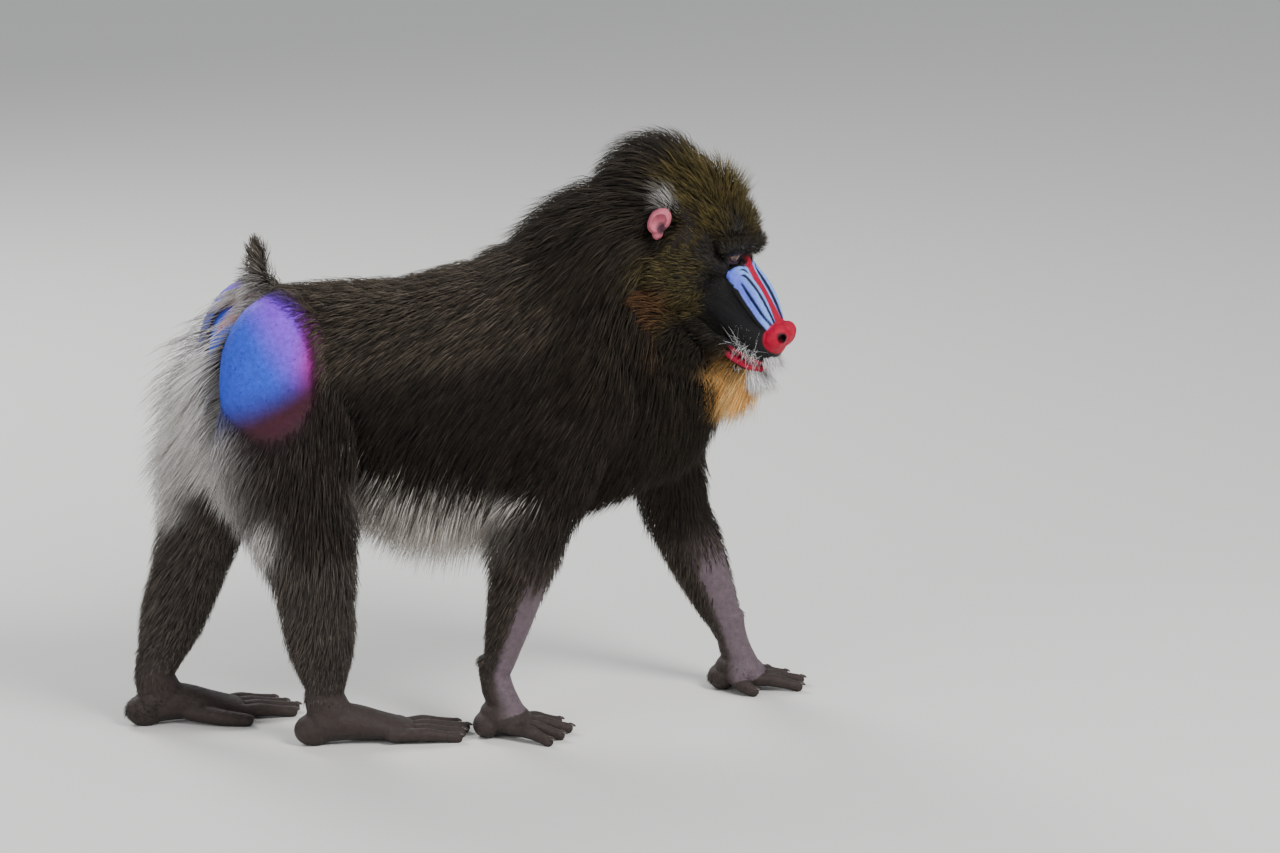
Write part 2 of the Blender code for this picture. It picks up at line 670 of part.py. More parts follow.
def lock(tree, spot, flow, size, lift, droop, lies):
    """One flat tapered lock, its root sunk at the skin nearest spot.

    A lock that lies keeps its lift over the skin; one that hangs only stays clear of it.
    """
    length, width, thick = size
    at, normal, _, _ = tree.find_nearest(Vector(spot))
    heading = Vector(flow).normalized()
    heading = (heading - normal * heading.dot(normal) * lies).normalized()
    line, ups, heights = [at - normal * 0.009 - heading * 0.004], [normal], [0.0]
    here = at + normal * lift * 0.25
    for k in range(1, 5):
        share = k / 4
        heading = (heading + Vector((0, 0, -1)) * droop * share).normalized()
        here = here + heading * length / 4
        near, normal, _, _ = tree.find_nearest(here)
        over = (here - near).dot(normal)
        wanted = lift * (0.60, 0.95, 1.0, 0.72)[k - 1]
        if over < wanted or lies > 0.5:
            here = near + normal * wanted
        heading = (here - line[-1]).normalized() * 0.5 + heading * 0.5
        line.append(here.copy())
        ups.append(normal)
        heights.append(abs((here - near).dot(normal)))
    verts = []
    for k in range(4):
        along = (line[k + 1] - line[max(0, k - 1)]).normalized()
        across = along.cross(ups[k]).normalized()
        up = across.cross(along).normalized()
        wide = width / 2 * (0.80, 1.0, 0.86, 0.56)[k]
        deep = thick * (1.0, 0.9, 0.75, 0.5)[k]
        under = deep * 0.4
        if k == 1 or (lies > 0.5 and k == 2):
            under = heights[k] + LOCK_ROOT
        verts += [line[k] - across * wide - up * under, line[k] + across * wide - up * under,
                  line[k] + up * deep * 0.6]
    verts.append(line[4])
    faces = [(0, 1, 2)]
    for k in range(3):
        for i in range(3):
            n = (i + 1) % 3
            a, b, c, d = 3 * k + i, 3 * k + n, 3 * k + 3 + n, 3 * k + 3 + i
            faces += [(a, d, c), (a, c, b)]
    faces += [(9, 12, 10), (10, 12, 11), (11, 12, 9)]
    made = mesh_object("lock", verts, faces)
    if islands(made)[0][1] < 0:
        made.data.flip_normals()
    return made


def rows_of_locks(draw, tree, spots, flow, size, lift, droop=0.0, lies=1.0):
    """A lock at every spot, its heading and size varied a little."""
    made = []
    for spot in spots:
        vary = Vector([draw.uniform(-0.16, 0.16) for _ in range(3)])
        scale = draw.uniform(0.84, 1.10)
        turned = flow(spot) if callable(flow) else flow
        made.append(lock(tree, spot, Vector(turned).normalized() + vary,
                         (size[0] * scale, size[1] * draw.uniform(0.9, 1.1), size[2]),
                         lift * draw.uniform(0.85, 1.12), droop, lies))
    return made


def grid(first, last, count, jitter, draw):
    """Spots from first to last, a little off the line."""
    return [tuple(between(first, last, (k + 0.5) / count)[i] + draw.uniform(-jitter, jitter)
                  for i in range(3)) for k in range(count)]


def around(centre, axis_turn, radii, angles, draw):
    """Spots on a ring round the neck; angle 0 is the top, positive to the left."""
    made = []
    for angle in angles:
        turn = math.radians(angle + draw.uniform(-4, 4))
        up = Vector((-math.sin(axis_turn), 0, math.cos(axis_turn)))
        made.append(tuple(Vector(centre) + Vector((0, 1, 0)) * math.sin(turn) * radii[0]
                          + up * math.cos(turn) * radii[1]))
    return made


def mane_locks(draw, tree):
    made = []
    for centre, turn, radii, angles, length, lift in MANE_RINGS:
        for angle in angles:
            spot = around(centre, turn, radii, [angle], draw)[0]
            top = math.cos(math.radians(angle))
            flow = (-1.0, 0.10 * math.sin(math.radians(angle)), -0.35 + 0.25 * top)
            made += rows_of_locks(draw, tree, [spot], flow, (length, 0.046, 0.011),
                                  lift * (0.55 + 0.45 * max(0.0, top)), 0.04)
    return made


def head_locks(draw, tree):
    """Crown, crest and the ruff of each cheek, given in the head's own frame."""
    place = head_frame()
    turn = place.to_3x3()
    made = []
    for spot, flow, size, lift in CROWN_LOCKS:
        made += rows_of_locks(draw, tree, [place @ Vector(spot)], turn @ Vector(flow),
                              size, lift, 0.02)
    for sign in (-1, 1):
        for spot, flow, size, lift in RUFF_LOCKS:
            made += rows_of_locks(draw, tree, [place @ Vector((spot[0], sign * spot[1], spot[2]))],
                                  turn @ Vector((flow[0], sign * flow[1], flow[2])),
                                  size, lift, 0.06)
    return made


def beard_locks(draw, tree):
    place = head_frame()
    turn = place.to_3x3()
    made = []
    for x, side_step, length in BEARD_ROWS:
        for sign in (-1, 0, 1):
            if sign == 0 and side_step < 0.015:
                continue
            spot = place @ Vector((x, sign * side_step, -0.140))
            flow = turn @ Vector((0.22, -sign * 0.12, -1.0))
            made += rows_of_locks(draw, tree, [spot], flow, (length, 0.024, 0.009), 0.002, 0.0,
                                  0.0)
    return made


def torso_locks(draw, tree):
    made = []
    for y, flow_y, count in ((-0.048, -0.12, 7), (0.0, 0.0, 7), (0.048, 0.12, 7)):
        for k in range(count):
            share = (k + 0.5) / count
            x = -0.168 + 0.240 * share + draw.uniform(-0.005, 0.005)
            length = 0.042 + 0.052 * math.sin(math.pi * min(1.0, 0.10 + 0.9 * share)) ** 0.8
            made += rows_of_locks(draw, tree, [(x, y, 0.20)], (-0.25, flow_y, -1.0),
                                  (length, 0.046, 0.010), 0.003, 0.03, 0.0)
    for x in (0.175, 0.220):
        for y in (-0.030, 0.030):
            made += rows_of_locks(draw, tree, [(x, y, 0.20)], (-0.45, 0, -1.0),
                                  (0.044, 0.046, 0.009), 0.003, 0.03, 0.0)
    return made


def thigh_locks(draw, tree, side):
    sign = -1 if side == "right" else 1
    hip, knee = HIP[side], KNEE[side]
    made = []
    for row in range(4):
        share = (row + 0.25) / 4.1
        z = hip[2] + 0.080 - 0.205 * share
        x = between(hip, knee, max(0.0, (hip[2] - z) / (hip[2] - knee[2])))[0] - 0.12
        for y in (0.036, 0.080):
            made += rows_of_locks(draw, tree, [(x, sign * y, z)], (-1.0, 0, -0.62 - 0.4 * share),
                                  (0.086 - 0.006 * share, 0.052, 0.012), 0.004, 0.10, 0.0)
    return made


def arm_locks(draw, tree, top, low, count, length):
    """A fringe down the back of an arm."""
    made = []
    for spot in grid((top[0] - 0.08, top[1], top[2]), (low[0] - 0.08, low[1], low[2]), count,
                     0.004, draw):
        made += rows_of_locks(draw, tree, [spot], (-0.75, 0, -1.0), (length, 0.040, 0.009),
                              0.003, 0.10, 0.0)
    return made


def tail_locks(draw, tree):
    made = []
    for k in range(4):
        turn = 2 * math.pi * (k + 0.5) / 4
        spot = (TAIL_TIP[0] + 0.02 * math.cos(turn), 0.02 * math.sin(turn), TAIL_TIP[2] - 0.050)
        made += rows_of_locks(draw, tree, [spot], (0.1 * math.cos(turn), 0.1 * math.sin(turn), 1.0),
                              (0.038, 0.018, 0.005), 0.002, 0.0, 0.9)
    return made


def nearby(one, other):
    """Whether the boxes round two objects come within a few millimetres."""
    boxes = []
    for obj in (one, other):
        points = np.array([v.co[:] for v in obj.data.vertices])
        boxes.append((points.min(0) - 0.004, points.max(0) + 0.004))
    return bool((boxes[0][0] < boxes[1][1]).all() and (boxes[1][0] < boxes[0][1]).all())


def part_crossing(made):
    """Trims the first of any two nodes whose surfaces still cross."""
    for k, one in enumerate(made):
        for other in made[k + 1:]:
            if nearby(one, other) and tree_of([one]).overlap(tree_of([other])):
                print("trimmed", one.name, "by", other.name)
                boolean(one, [grown(other, 1.5 * GAP)], "DIFFERENCE")


def finish(made):
    """Keeps one body of each node, paints it, and centres the animal over the origin."""
    look = {name: material(name, colour, rough) for name, (colour, rough) in LOOKS.items()}
    kept = []
    made = [plane_off(keep_largest(obj)) for obj in made]
    part_crossing(made)
    for obj in made:
        name = obj.name
        obj = unstick(heal(keep_largest(obj)))
        obj.name = name
        obj.data.name = name
        obj.data.materials.append(look[SLOTS.get(name.split("_")[0], "coat")])
        kept.append(obj)
    points = np.array([v.co[:] for obj in kept for v in obj.data.vertices])
    low, high = points.min(0), points.max(0)
    middle = Vector((-(low[0] + high[0]) / 2, -(low[1] + high[1]) / 2, -low[2]))
    for obj in kept:
        obj.data.transform(Matrix.Translation(middle))
    print("moved by", [round(c, 5) for c in middle], "triangles",
          sum(len(obj.data.polygons) for obj in kept))


def main():
    for obj in list(bpy.data.objects):
        bpy.data.objects.remove(obj, do_unlink=True)
    torso = fuse("torso", trunk_pieces(), 0.007, 8, 1050)
    head = fuse("head", head_pieces() + [eye_mound("right"), eye_mound("left")], 0.002, 3, 1750)
    nose = fuse("nose", nose_pieces(), 0.0013, 2, 280)
    nose_pocket = grown(nose, GAP)
    boolean(nose, nostrils(), "DIFFERENCE")
    ridges = [cut_clear(fuse("ridge_" + side, ridge_pieces(side), 0.0013, 1, 300), [nose])
              for side in ("right", "left")]
    eyes = [ball("eye_" + side, (EYE_AT[0], sign * EYE_AT[1], EYE_AT[2]), [EYE_RADIUS] * 3,
                 detail=(12, 8)) for side, sign in (("right", -1), ("left", 1))]
    ears = [ear("right"), ear("left")]
    pockets = [*eye_opening("right"), *eye_opening("left"), mouth_line(), nose_pocket,
               *(grown(guest, GAP) for guest in (*ears, *ridges))]
    for obj in [head, nose, *ridges, *eyes, *ears, *pockets]:
        obj.data.transform(head_frame())

    neck = fuse("neck", [loft("neck", NECK, sides=28, dome=0.6)], 0.007, 4, 450)
    beard = fuse("beard", [loft("beard", [((0.118, 0, -0.112), 0.028, 0.030),
                                          ((0.142, 0, -0.132), 0.024, 0.032),
                                          ((0.156, 0, -0.148), 0.016, 0.020)])], 0.003, 2, 140)
    beard.data.transform(head_frame())
    made = [torso, nose, *ridges, *eyes, *ears]
    boolean(head, [neck], "UNION")
    for pocket in pockets:
        boolean(head, [pocket], "DIFFERENCE")
    boolean(head, [slice_disc(HEAD_CUT, HEAD_CUT_NORMAL, 0.22)]
            + [grown(torso, GAP)], "DIFFERENCE")
    parts = sorted(islands(head), key=lambda item: -item[1])[:2]
    parts.sort(key=lambda item: sum(head.data.polygons[f].center.x for f in item[0])
               / len(item[0]))
    neck = lift_island(head, parts[0][0], "neck")
    face = lift_island(head, parts[1][0], "head_part")
    remove(head)
    face.name = "head"
    made += [neck, face]

    tail = fuse("tail", [loft("tail", [(TAIL_BASE, TAIL_GIRTH * 1.5, TAIL_GIRTH * 1.5),
                                       (between(TAIL_BASE, TAIL_TIP, 0.5), TAIL_GIRTH, TAIL_GIRTH),
                                       (between(TAIL_BASE, TAIL_TIP, 0.85), TAIL_GIRTH * 0.7,
                                        TAIL_GIRTH * 0.7)])], 0.004, 2, 200)
    limbs = []
    for side in ("right", "left"):
        flip = -1 if side == "left" else 1
        foot = standing(foot_pieces(), ANKLE[side], FOOT_YAW[side], flip, -0.040)
        hand = standing(hand_pieces(), WRIST[side], HAND_YAW[side], flip, 0.0)
        leg = fuse("leg_" + side, leg_pieces(side), 0.006, 6, 620)
        foot = fuse("foot_" + side, foot, 0.0025, 3, 460)
        arm = fuse("arm_" + side, arm_pieces(side), 0.006, 6, 500)
        hand = fuse("hand_" + side, hand, 0.0025, 3, 430)
        inner = box("inner", (0, flip * 0.1 - flip * 0.0001, 0.5), (1.0, 0.1 , 0.6))
        boolean(leg, [foot], "UNION")
        boolean(leg, [grown(torso, GAP), inner, floor_cut()], "DIFFERENCE")
        boolean(arm, [hand], "UNION")
        boolean(arm, [grown(torso, GAP), grown(neck, GAP), floor_cut()], "DIFFERENCE")
        knee, ankle, elbow, wrist = KNEE[side], ANKLE[side], ELBOW[side], WRIST[side]
        limbs += part_at(leg, [slice_disc(knee, (0.1, 0, 1), 0.10),
                               slice_disc((ankle[0], ankle[1], 0.098), (0.1, 0, 1), 0.06)],
                         ["thigh_" + side, "shin_" + side, "foot_" + side])
        limbs += part_at(arm, [slice_disc(between(elbow, wrist, 0.04), (0.2, 0, 1), 0.075),
                               slice_disc((wrist[0], wrist[1], 0.092), (0, 0, 1), 0.05)],
                         ["upper_arm_" + side, "forearm_" + side, "hand_" + side])
    made += limbs
    for side, sign in (("right", -1), ("left", 1)):
        thigh = next(o for o in made if o.name == "thigh_" + side)
        at = (HIP[side][0] - 0.036, sign * 0.118, HIP[side][2] + 0.068)
        size = (0.068, 0.040, 0.084)
        patch = ball("rump_" + side, at, size, (0, -14, 0), (12, 8))
        pocket = grown(patch, GAP)
        boolean(patch, [grown(thigh, 0.0)], "INTERSECT")
        boolean(thigh, [pocket], "DIFFERENCE")
        made.append(patch)
    cut_clear(tail, [torso] + [o for o in limbs if o.name.startswith("thigh")])
    made.append(tail)
    draw = random.Random(SEED)
    tree = tree_of([o for o in made if not o.name.startswith(("eye", "ridge", "nose", "ear"))]
                   + [beard])
    boolean(beard, beard_locks(draw, tree), "UNION")
    made.append(cut_clear(beard, [o for o in made if nearby(beard, o)
                                  and not o.name.startswith(FACE)]))
    by_name = {obj.name: obj for obj in made}
    for name, locks in (
            ("torso", torso_locks(draw, tree)),
            ("thigh_right", thigh_locks(draw, tree, "right")),
            ("thigh_left", thigh_locks(draw, tree, "left")),
            ("neck", mane_locks(draw, tree)),
            ("head", head_locks(draw, tree)),
            ("upper_arm_right", arm_locks(draw, tree, between(SHOULDER["right"], ELBOW["right"], 0.5),
                                          ELBOW["right"], 3, 0.040)),
            ("upper_arm_left", arm_locks(draw, tree, between(SHOULDER["left"], ELBOW["left"], 0.6),
                                         ELBOW["left"], 3, 0.044)),
            ("forearm_right", arm_locks(draw, tree, between(ELBOW["right"], WRIST["right"], 0.15),
                                        between(ELBOW["right"], WRIST["right"], 0.6), 2, 0.036)),
            ("forearm_left", arm_locks(draw, tree, between(ELBOW["left"], WRIST["left"], 0.15),
                                       between(ELBOW["left"], WRIST["left"], 0.7), 4, 0.044)),
            ("tail", tail_locks(draw, tree))):
        others = [o for o in made if o.name != name and not o.name.startswith(FACE)]
        for k, piece in enumerate(locks):
            for other in others:
                if nearby(piece, other):
                    boolean(piece, [grown(other, LOCK_GAP + LOCK_STEP * k)], "DIFFERENCE")
        boolean(by_name[name], [piece for piece in locks if islands(piece)], "UNION")
    finish(made)


main()
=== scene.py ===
"""A life-size adult male mandrill in mid-stride, dressed in skin, coat and studio light.

Metres, +Z up. The body is blocked out in its own frame, where the midline is y = 0, and is
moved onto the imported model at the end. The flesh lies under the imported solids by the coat's
depth, and the coat is made of solid tufts that grow from it along the lie of the hair.
"""
import math

import bpy
import numpy as np
from mathutils import Matrix, Vector
from mathutils.kdtree import KDTree
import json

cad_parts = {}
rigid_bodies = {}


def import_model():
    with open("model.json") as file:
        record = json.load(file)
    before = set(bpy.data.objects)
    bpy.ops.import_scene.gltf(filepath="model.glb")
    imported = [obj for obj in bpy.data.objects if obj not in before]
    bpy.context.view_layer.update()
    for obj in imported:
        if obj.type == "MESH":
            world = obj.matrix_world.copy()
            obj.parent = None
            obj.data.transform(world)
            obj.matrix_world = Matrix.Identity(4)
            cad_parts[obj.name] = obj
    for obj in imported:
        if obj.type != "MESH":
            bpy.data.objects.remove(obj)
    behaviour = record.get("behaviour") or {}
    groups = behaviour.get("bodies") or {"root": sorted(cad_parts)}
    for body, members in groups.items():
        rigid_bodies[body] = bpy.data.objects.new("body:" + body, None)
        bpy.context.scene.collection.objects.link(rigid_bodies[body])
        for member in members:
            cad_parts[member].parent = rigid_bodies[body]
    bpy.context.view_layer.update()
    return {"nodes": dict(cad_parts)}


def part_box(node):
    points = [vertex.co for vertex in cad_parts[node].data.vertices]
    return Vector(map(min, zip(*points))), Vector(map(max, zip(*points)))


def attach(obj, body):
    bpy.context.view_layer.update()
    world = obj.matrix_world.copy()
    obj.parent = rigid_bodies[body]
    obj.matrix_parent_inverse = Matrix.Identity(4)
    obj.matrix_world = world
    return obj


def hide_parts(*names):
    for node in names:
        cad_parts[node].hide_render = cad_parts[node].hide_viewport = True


for leftover in list(bpy.data.objects):
    bpy.data.objects.remove(leftover, do_unlink=True)
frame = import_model()
SEED = 11

# The skeleton's joints, in the body frame
HIP = {"right": (-0.248, -0.068, 0.425), "left": (-0.262, 0.066, 0.425)}
KNEE = {"right": (-0.214, -0.092, 0.235), "left": (-0.322, 0.082, 0.255)}
ANKLE = {"right": (-0.199, -0.062, 0.07), "left": (-0.392, 0.07, 0.072)}
SHOULDER = {"right": (0.14, -0.078, 0.44), "left": (0.232, 0.072, 0.44)}
ELBOW = {"right": (0.06, -0.094, 0.275), "left": (0.278, 0.086, 0.238)}
WRIST = {"right": (0.012, -0.072, 0.082), "left": (0.345, 0.076, 0.066)}
FOOT_YAW = {"right": 2.0, "left": 8.0}
HAND_YAW = {"right": -8.0, "left": 4.0}
SIGN = {"right": -1, "left": 1}
FOOT_LENGTH = 0.228
HAND_LENGTH = 0.105
HEEL_REACH = 0.04
# Half width and half depth of a toe and a finger, root to tip
TOE_GIRTH = ((0.0086, 0.0092), (0.0074, 0.0082), (0.008, 0.0086), (0.0068, 0.0074),
             (0.007, 0.0072))
FINGER_GIRTH = ((0.0086, 0.0098), (0.0074, 0.0086), (0.008, 0.009), (0.0066, 0.0074),
                (0.0068, 0.007))
SOLE_CUT = 0.0022
TAIL_BASE = (-0.262, 0.0, 0.552)
TAIL_TIP = (-0.268, 0.0, 0.632)
TAIL_GIRTH = 0.01

# The head has its own frame: forward along the palate, +Y left, +Z up
HEAD_AT = (0.258, -0.01, 0.636)
HEAD_YAW = -37.0
HEAD_PITCH = 30.0
EYE_AT = (0.088, 0.0215, 0.004)
EYE_RADIUS = 0.0105
HEAD_FRAME = Matrix.Translation(HEAD_AT) @ Matrix.Rotation(math.radians(HEAD_YAW), 4, "Z") \
    @ Matrix.Rotation(math.radians(HEAD_PITCH), 4, "Y")

# Flesh of the trunk under its coat: distance along +X, then back, belly and half width
TRUNK = (
    (-0.3, 0.532, 0.44, 0.05),
    (-0.262, 0.556, 0.395, 0.078),
    (-0.205, 0.56, 0.358, 0.086),
    (-0.14, 0.56, 0.328, 0.09),
    (-0.07, 0.564, 0.3, 0.096),
    (0.0, 0.574, 0.288, 0.1),
    (0.07, 0.584, 0.282, 0.102),
    (0.14, 0.584, 0.288, 0.098),
    (0.205, 0.566, 0.306, 0.09),
    (0.262, 0.52, 0.345, 0.068),
)
NECK = (
    ((0.07, 0.0, 0.475), 0.08, 0.092),
    ((0.12, 0.0, 0.53), 0.07, 0.082),
    ((0.165, 0.002, 0.575), 0.062, 0.076),
    ((0.205, 0.004, 0.604), 0.054, 0.07),
    ((0.235, 0.0, 0.625), 0.048, 0.06),
)

# The voxel that melts each part of the body into one skin
BODY_VOXEL = 0.0055
HAND_VOXEL = 0.0022
HEAD_VOXEL = 0.0012

# The ribbed swellings beside the nose, and the mouth's height, in the head frame
RIDGE_BACK = 0.106
RIDGE_REACH = 0.073
RIBS = 4
RIDGE_INNER = 0.0085
RIDGE_BREADTH = 0.0255
RIDGE_OUTER = 0.0345
RIB_GIRTH = 0.0054
LIP_LEVEL = -0.0985

# The dark and the light end of each kind of hair
HAIR = {
    "back": ("#1c1814", "#74685a"),
    "loin": ("#262019", "#7d7162"),
    "flank": ("#13100e", "#443b32"),
    "belly": ("#b3aaa0", "#f0eae2"),
    "chest": ("#15120f", "#443a2c"),
    "throat": ("#33231a", "#86603f"),
    "mane": ("#13100d", "#483e32"),
    "crown": ("#1a160d", "#7c6c3c"),
    "cheek": ("#1b170f", "#7d7048"),
    "brow": ("#13100d", "#4c4438"),
    "beard": ("#e89c3c", "#ffdf9c"),
    "white": ("#cfccc9", "#ffffff"),
    "rump": ("#b9b4b0", "#f6f3f0"),
    "thigh": ("#1b1715", "#554b43"),
    "shin": ("#302b28", "#7d736a"),
    "arm": ("#171310", "#4a4037"),
    "forearm": ("#29241f", "#71655a"),
    "hand": ("#231e1c", "#5a5049"),
    "tail": ("#241f1b", "#7a6f62"),
}
SKIN = {
    "under_coat": "#211b18", "hand": "#352c29", "sole": "#241f1e", "muzzle": "#0e0d10",
    "lid": "#4a3a44", "ridge": "#7ea2ee", "ridge_edge": "#5868d4",
    "groove": "#0a1230", "red": "#a8002c", "lip": "#9a1232",
    "ear": "#b4606f", "inner_arm": "#5d5056", "rump_blue": "#2c4cc8", "rump_violet": "#7a3ad6",
    "rump_magenta": "#a02a86", "rump_maroon": "#381020", "rump_red": "#c0202c",
}

# Which way the bare side of each forearm faces, and how far from its bone it reaches
BARE_ARM = {"right": (0.75, -0.66, 0.0), "left": (0.5, -0.87, 0.0)}

# Where hair grows on the trunk, as rows of place in mm, lie, length in mm, rise in degrees,
# width in mm and kind of hair
TRUNK_COAT = (
    (60, 0, 600, -1, 0, -0.1, 52, 30, 2.6, "back"),
    (-40, 0, 575, -1, 0, -0.05, 46, 28, 2.6, "back"),
    (-140, 0, 562, -1, 0, -0.05, 44, 30, 2.6, "loin"),
    (-225, 0, 560, -1, 0, 0, 42, 32, 2.4, "loin"),
    (60, 75, 545, -0.9, 0.15, -0.45, 52, 27, 2.6, "back"),
    (-40, 70, 530, -0.9, 0.1, -0.42, 46, 25, 2.6, "back"),
    (-140, 70, 520, -0.9, 0.1, -0.4, 42, 24, 2.6, "back"),
    (-200, 70, 530, -0.9, 0.1, -0.35, 34, 20, 2.2, "loin"),
    (60, 100, 450, -0.75, 0.05, -0.65, 54, 22, 2.6, "flank"),
    (-40, 96, 430, -0.75, 0.05, -0.65, 52, 22, 2.6, "flank"),
    (-140, 90, 430, -0.75, 0.05, -0.65, 46, 22, 2.6, "flank"),
    (70, 95, 350, -0.45, 0, -0.9, 48, 20, 2.4, "flank"),
    (-30, 92, 350, -0.45, 0, -0.9, 48, 20, 2.4, "flank"),
    (-125, 85, 365, -0.55, 0, -0.85, 46, 20, 2.4, "flank"),
    (120, 60, 295, -0.45, 0.1, -1, 56, 36, 2.6, "chest"),
    (45, 60, 290, -0.25, 0.1, -1, 104, 52, 2.4, "belly"),
    (-20, 60, 295, -0.25, 0.1, -1, 118, 58, 2.4, "belly"),
    (-80, 60, 310, -0.35, 0.1, -1, 110, 56, 2.4, "belly"),
    (-130, 55, 330, -0.5, 0.1, -0.9, 92, 48, 2.6, "belly"),
    (110, 0, 285, -1, 0, -0.3, 56, 50, 2.6, "chest"),
    (40, 0, 283, -1, 0, -0.3, 94, 74, 2.8, "belly"),
    (-30, 0, 290, -1, 0, -0.3, 106, 74, 2.8, "belly"),
    (-100, 0, 315, -1, 0, -0.3, 84, 66, 2.8, "belly"),
    (-170, 0, 345, -1, 0, -0.2, 46, 45, 2.8, "belly"),
    (190, 50, 310, -0.4, 0.1, -1, 50, 34, 2.6, "chest"),
    (260, 45, 370, -0.1, 0.2, -1, 46, 30, 2.6, "chest"),
    (290, 0, 420, 0, 0, -1, 48, 30, 2.6, "chest"),
    (250, 70, 460, -0.3, 0.3, -0.9, 50, 28, 2.6, "chest"),
    (130, 95, 480, -0.6, 0, -0.8, 52, 14, 2.4, "mane"),
    (100, 0, 605, -0.9, 0, 0, 80, 50, 2.4, "mane"),
    (145, 0, 648, -0.9, 0, 0.1, 82, 47, 2.4, "mane"),
    (190, 0, 672, -0.9, 0, 0.2, 70, 36, 2.4, "mane"),
    (90, 75, 560, -0.8, 0.15, -0.6, 72, 26, 2.4, "mane"),
    (145, 66, 595, -0.8, 0.2, -0.6, 78, 28, 2.4, "mane"),
    (190, 55, 625, -0.8, 0.25, -0.5, 74, 30, 2.4, "mane"),
    (140, 80, 520, -0.55, 0.1, -0.85, 66, 18, 2.4, "mane"),
    (200, 60, 550, -0.5, 0.2, -0.85, 62, 24, 2.3, "mane"),
    (250, 40, 520, -0.2, 0.1, -1, 56, 30, 2.2, "throat"),
    (-300, 20, 540, -0.8, 0.1, -0.6, 40, 34, 2.2, "rump"),
    (-322, 50, 490, -0.9, 0.2, -0.3, 90, 62, 2.4, "rump"),
    (-330, 70, 465, -0.9, 0.4, -0.45, 102, 58, 2.4, "rump"),
    (-324, 50, 430, -0.9, 0.2, -0.45, 114, 66, 2.4, "rump"),
    (-280, 105, 385, -0.5, 0.1, -0.9, 46, 20, 2.4, "thigh"),
    (-298, 98, 350, -0.6, 0.1, -0.8, 56, 28, 2.4, "thigh"),
    (-312, 55, 375, -0.9, 0.2, -0.6, 108, 60, 2.4, "rump"),
)

# The same on the head, in the head's own frame
HEAD_COAT = (
    (98, 0, 28, -0.1, 0, 1, 11, 52, 1.3, "brow"),
    (92, 26, 26, -0.2, 0.4, 1, 11, 52, 1.3, "brow"),
    (86, 0, 42, -0.3, 0, 1, 16, 50, 1.6, "crown"),
    (74, 0, 50, -0.5, 0, 1, 24, 56, 1.7, "crown"),
    # The dark brow hair here, above the brow at the forehead's sides, is painted shade of the fold
    # between crest and brow
    (74, 26, 43, -0.6, 0.3, 0.9, 24, 46, 1.7, "brow"),
    (62, 38, 36, -0.9, 0.4, 0.7, 24, 40, 1.7, "crown"),
    (60, 0, 53, -0.8, 0, 0.8, 42, 62, 1.9, "crown"),
    (44, 0, 57, -1, 0, 0.6, 56, 66, 2, "crown"),
    (45, 30, 50, -1, 0.2, 0.3, 34, 48, 1.8, "crown"),
    (10, 0, 62, -1, 0, 0.3, 50, 34, 2.2, "crown"),
    (10, 40, 48, -1, 0.2, 0, 32, 30, 2, "crown"),
    (-40, 0, 55, -1, 0, 0.3, 62, 30, 2.4, "mane"),
    (-40, 45, 30, -1, 0.2, -0.1, 60, 26, 2.4, "mane"),
    (70, 48, 10, -1, 0.4, 0.2, 12, 26, 1.5, "brow"),
    (40, 56, 15, -1, 0.3, 0.1, 22, 30, 1.8, "crown"),
    (-1, 54, 27, 0.1, 0.6, 1, 18, 44, 1.3, "white"),
    (-18, 55, 28, -1, 0.2, 0.1, 40, 24, 2.3, "mane"),
    (14, 55, 32, -1, 0.2, 0.3, 20, 30, 1.8, "crown"),
    (-2, 47, 44, -1, 0.2, 0.2, 34, 28, 2, "crown"),
    (-25, 55, -10, -1, 0.2, -0.3, 46, 22, 2.3, "mane"),
    (-10, 55, -40, -1, 0.3, -0.5, 50, 26, 2.3, "mane"),
    (84, 46, -30, -1, 0.5, -0.05, 9, 28, 1.3, "brow"),
    (66, 54, -35, -1, 0.4, -0.1, 14, 42, 1.5, "cheek"),
    (40, 60, -45, -1, 0.4, -0.2, 19, 42, 1.7, "cheek"),
    (15, 62, -55, -1, 0.3, -0.35, 30, 34, 2, "cheek"),
    (75, 46, -75, -1, 0.5, -0.45, 15, 40, 1.6, "cheek"),
    (45, 48, -85, -0.8, 0.4, -0.8, 38, 30, 2, "throat"),
    (30, 40, -100, -0.6, 0.4, -0.9, 46, 30, 2.1, "throat"),
    (110, 36, -60, -0.9, 0.4, -0.4, 7, 24, 1.2, "brow"),
    (135, 32, -60, -0.9, 0.3, -0.4, 5, 20, 1.1, "brow"),
    (158, 28, -76, -0.7, 0.3, -0.7, 5, 22, 1.1, "brow"),
    (110, 34, -98, -0.8, 0.3, -0.7, 12, 28, 1.4, "brow"),
    (135, 30, -112, -0.5, 0.3, -0.9, 10, 28, 1.3, "brow"),
    (160, 26, -114, -0.2, 0.3, -0.9, 9, 30, 1.2, "brow"),
    (90, 30, -118, -0.5, 0.2, -1, 38, 36, 1.9, "chest"),
    (118, 18, -123, -0.4, 0.1, -1, 34, 50, 1.7, "brow"),
    (145, 20, -123, 0.1, 0.1, -1, 66, 76, 1.7, "beard"),
    (165, 14, -121, 0.2, 0.1, -1, 78, 72, 1.7, "beard"),
    (150, 0, -124, 0.2, 0, -1, 76, 80, 1.7, "beard"),
    (178, 0, -118, 0, 0, -1, 74, 46, 1.6, "beard"),
    (60, 0, -115, -0.3, 0, -1, 40, 50, 2, "chest"),
)

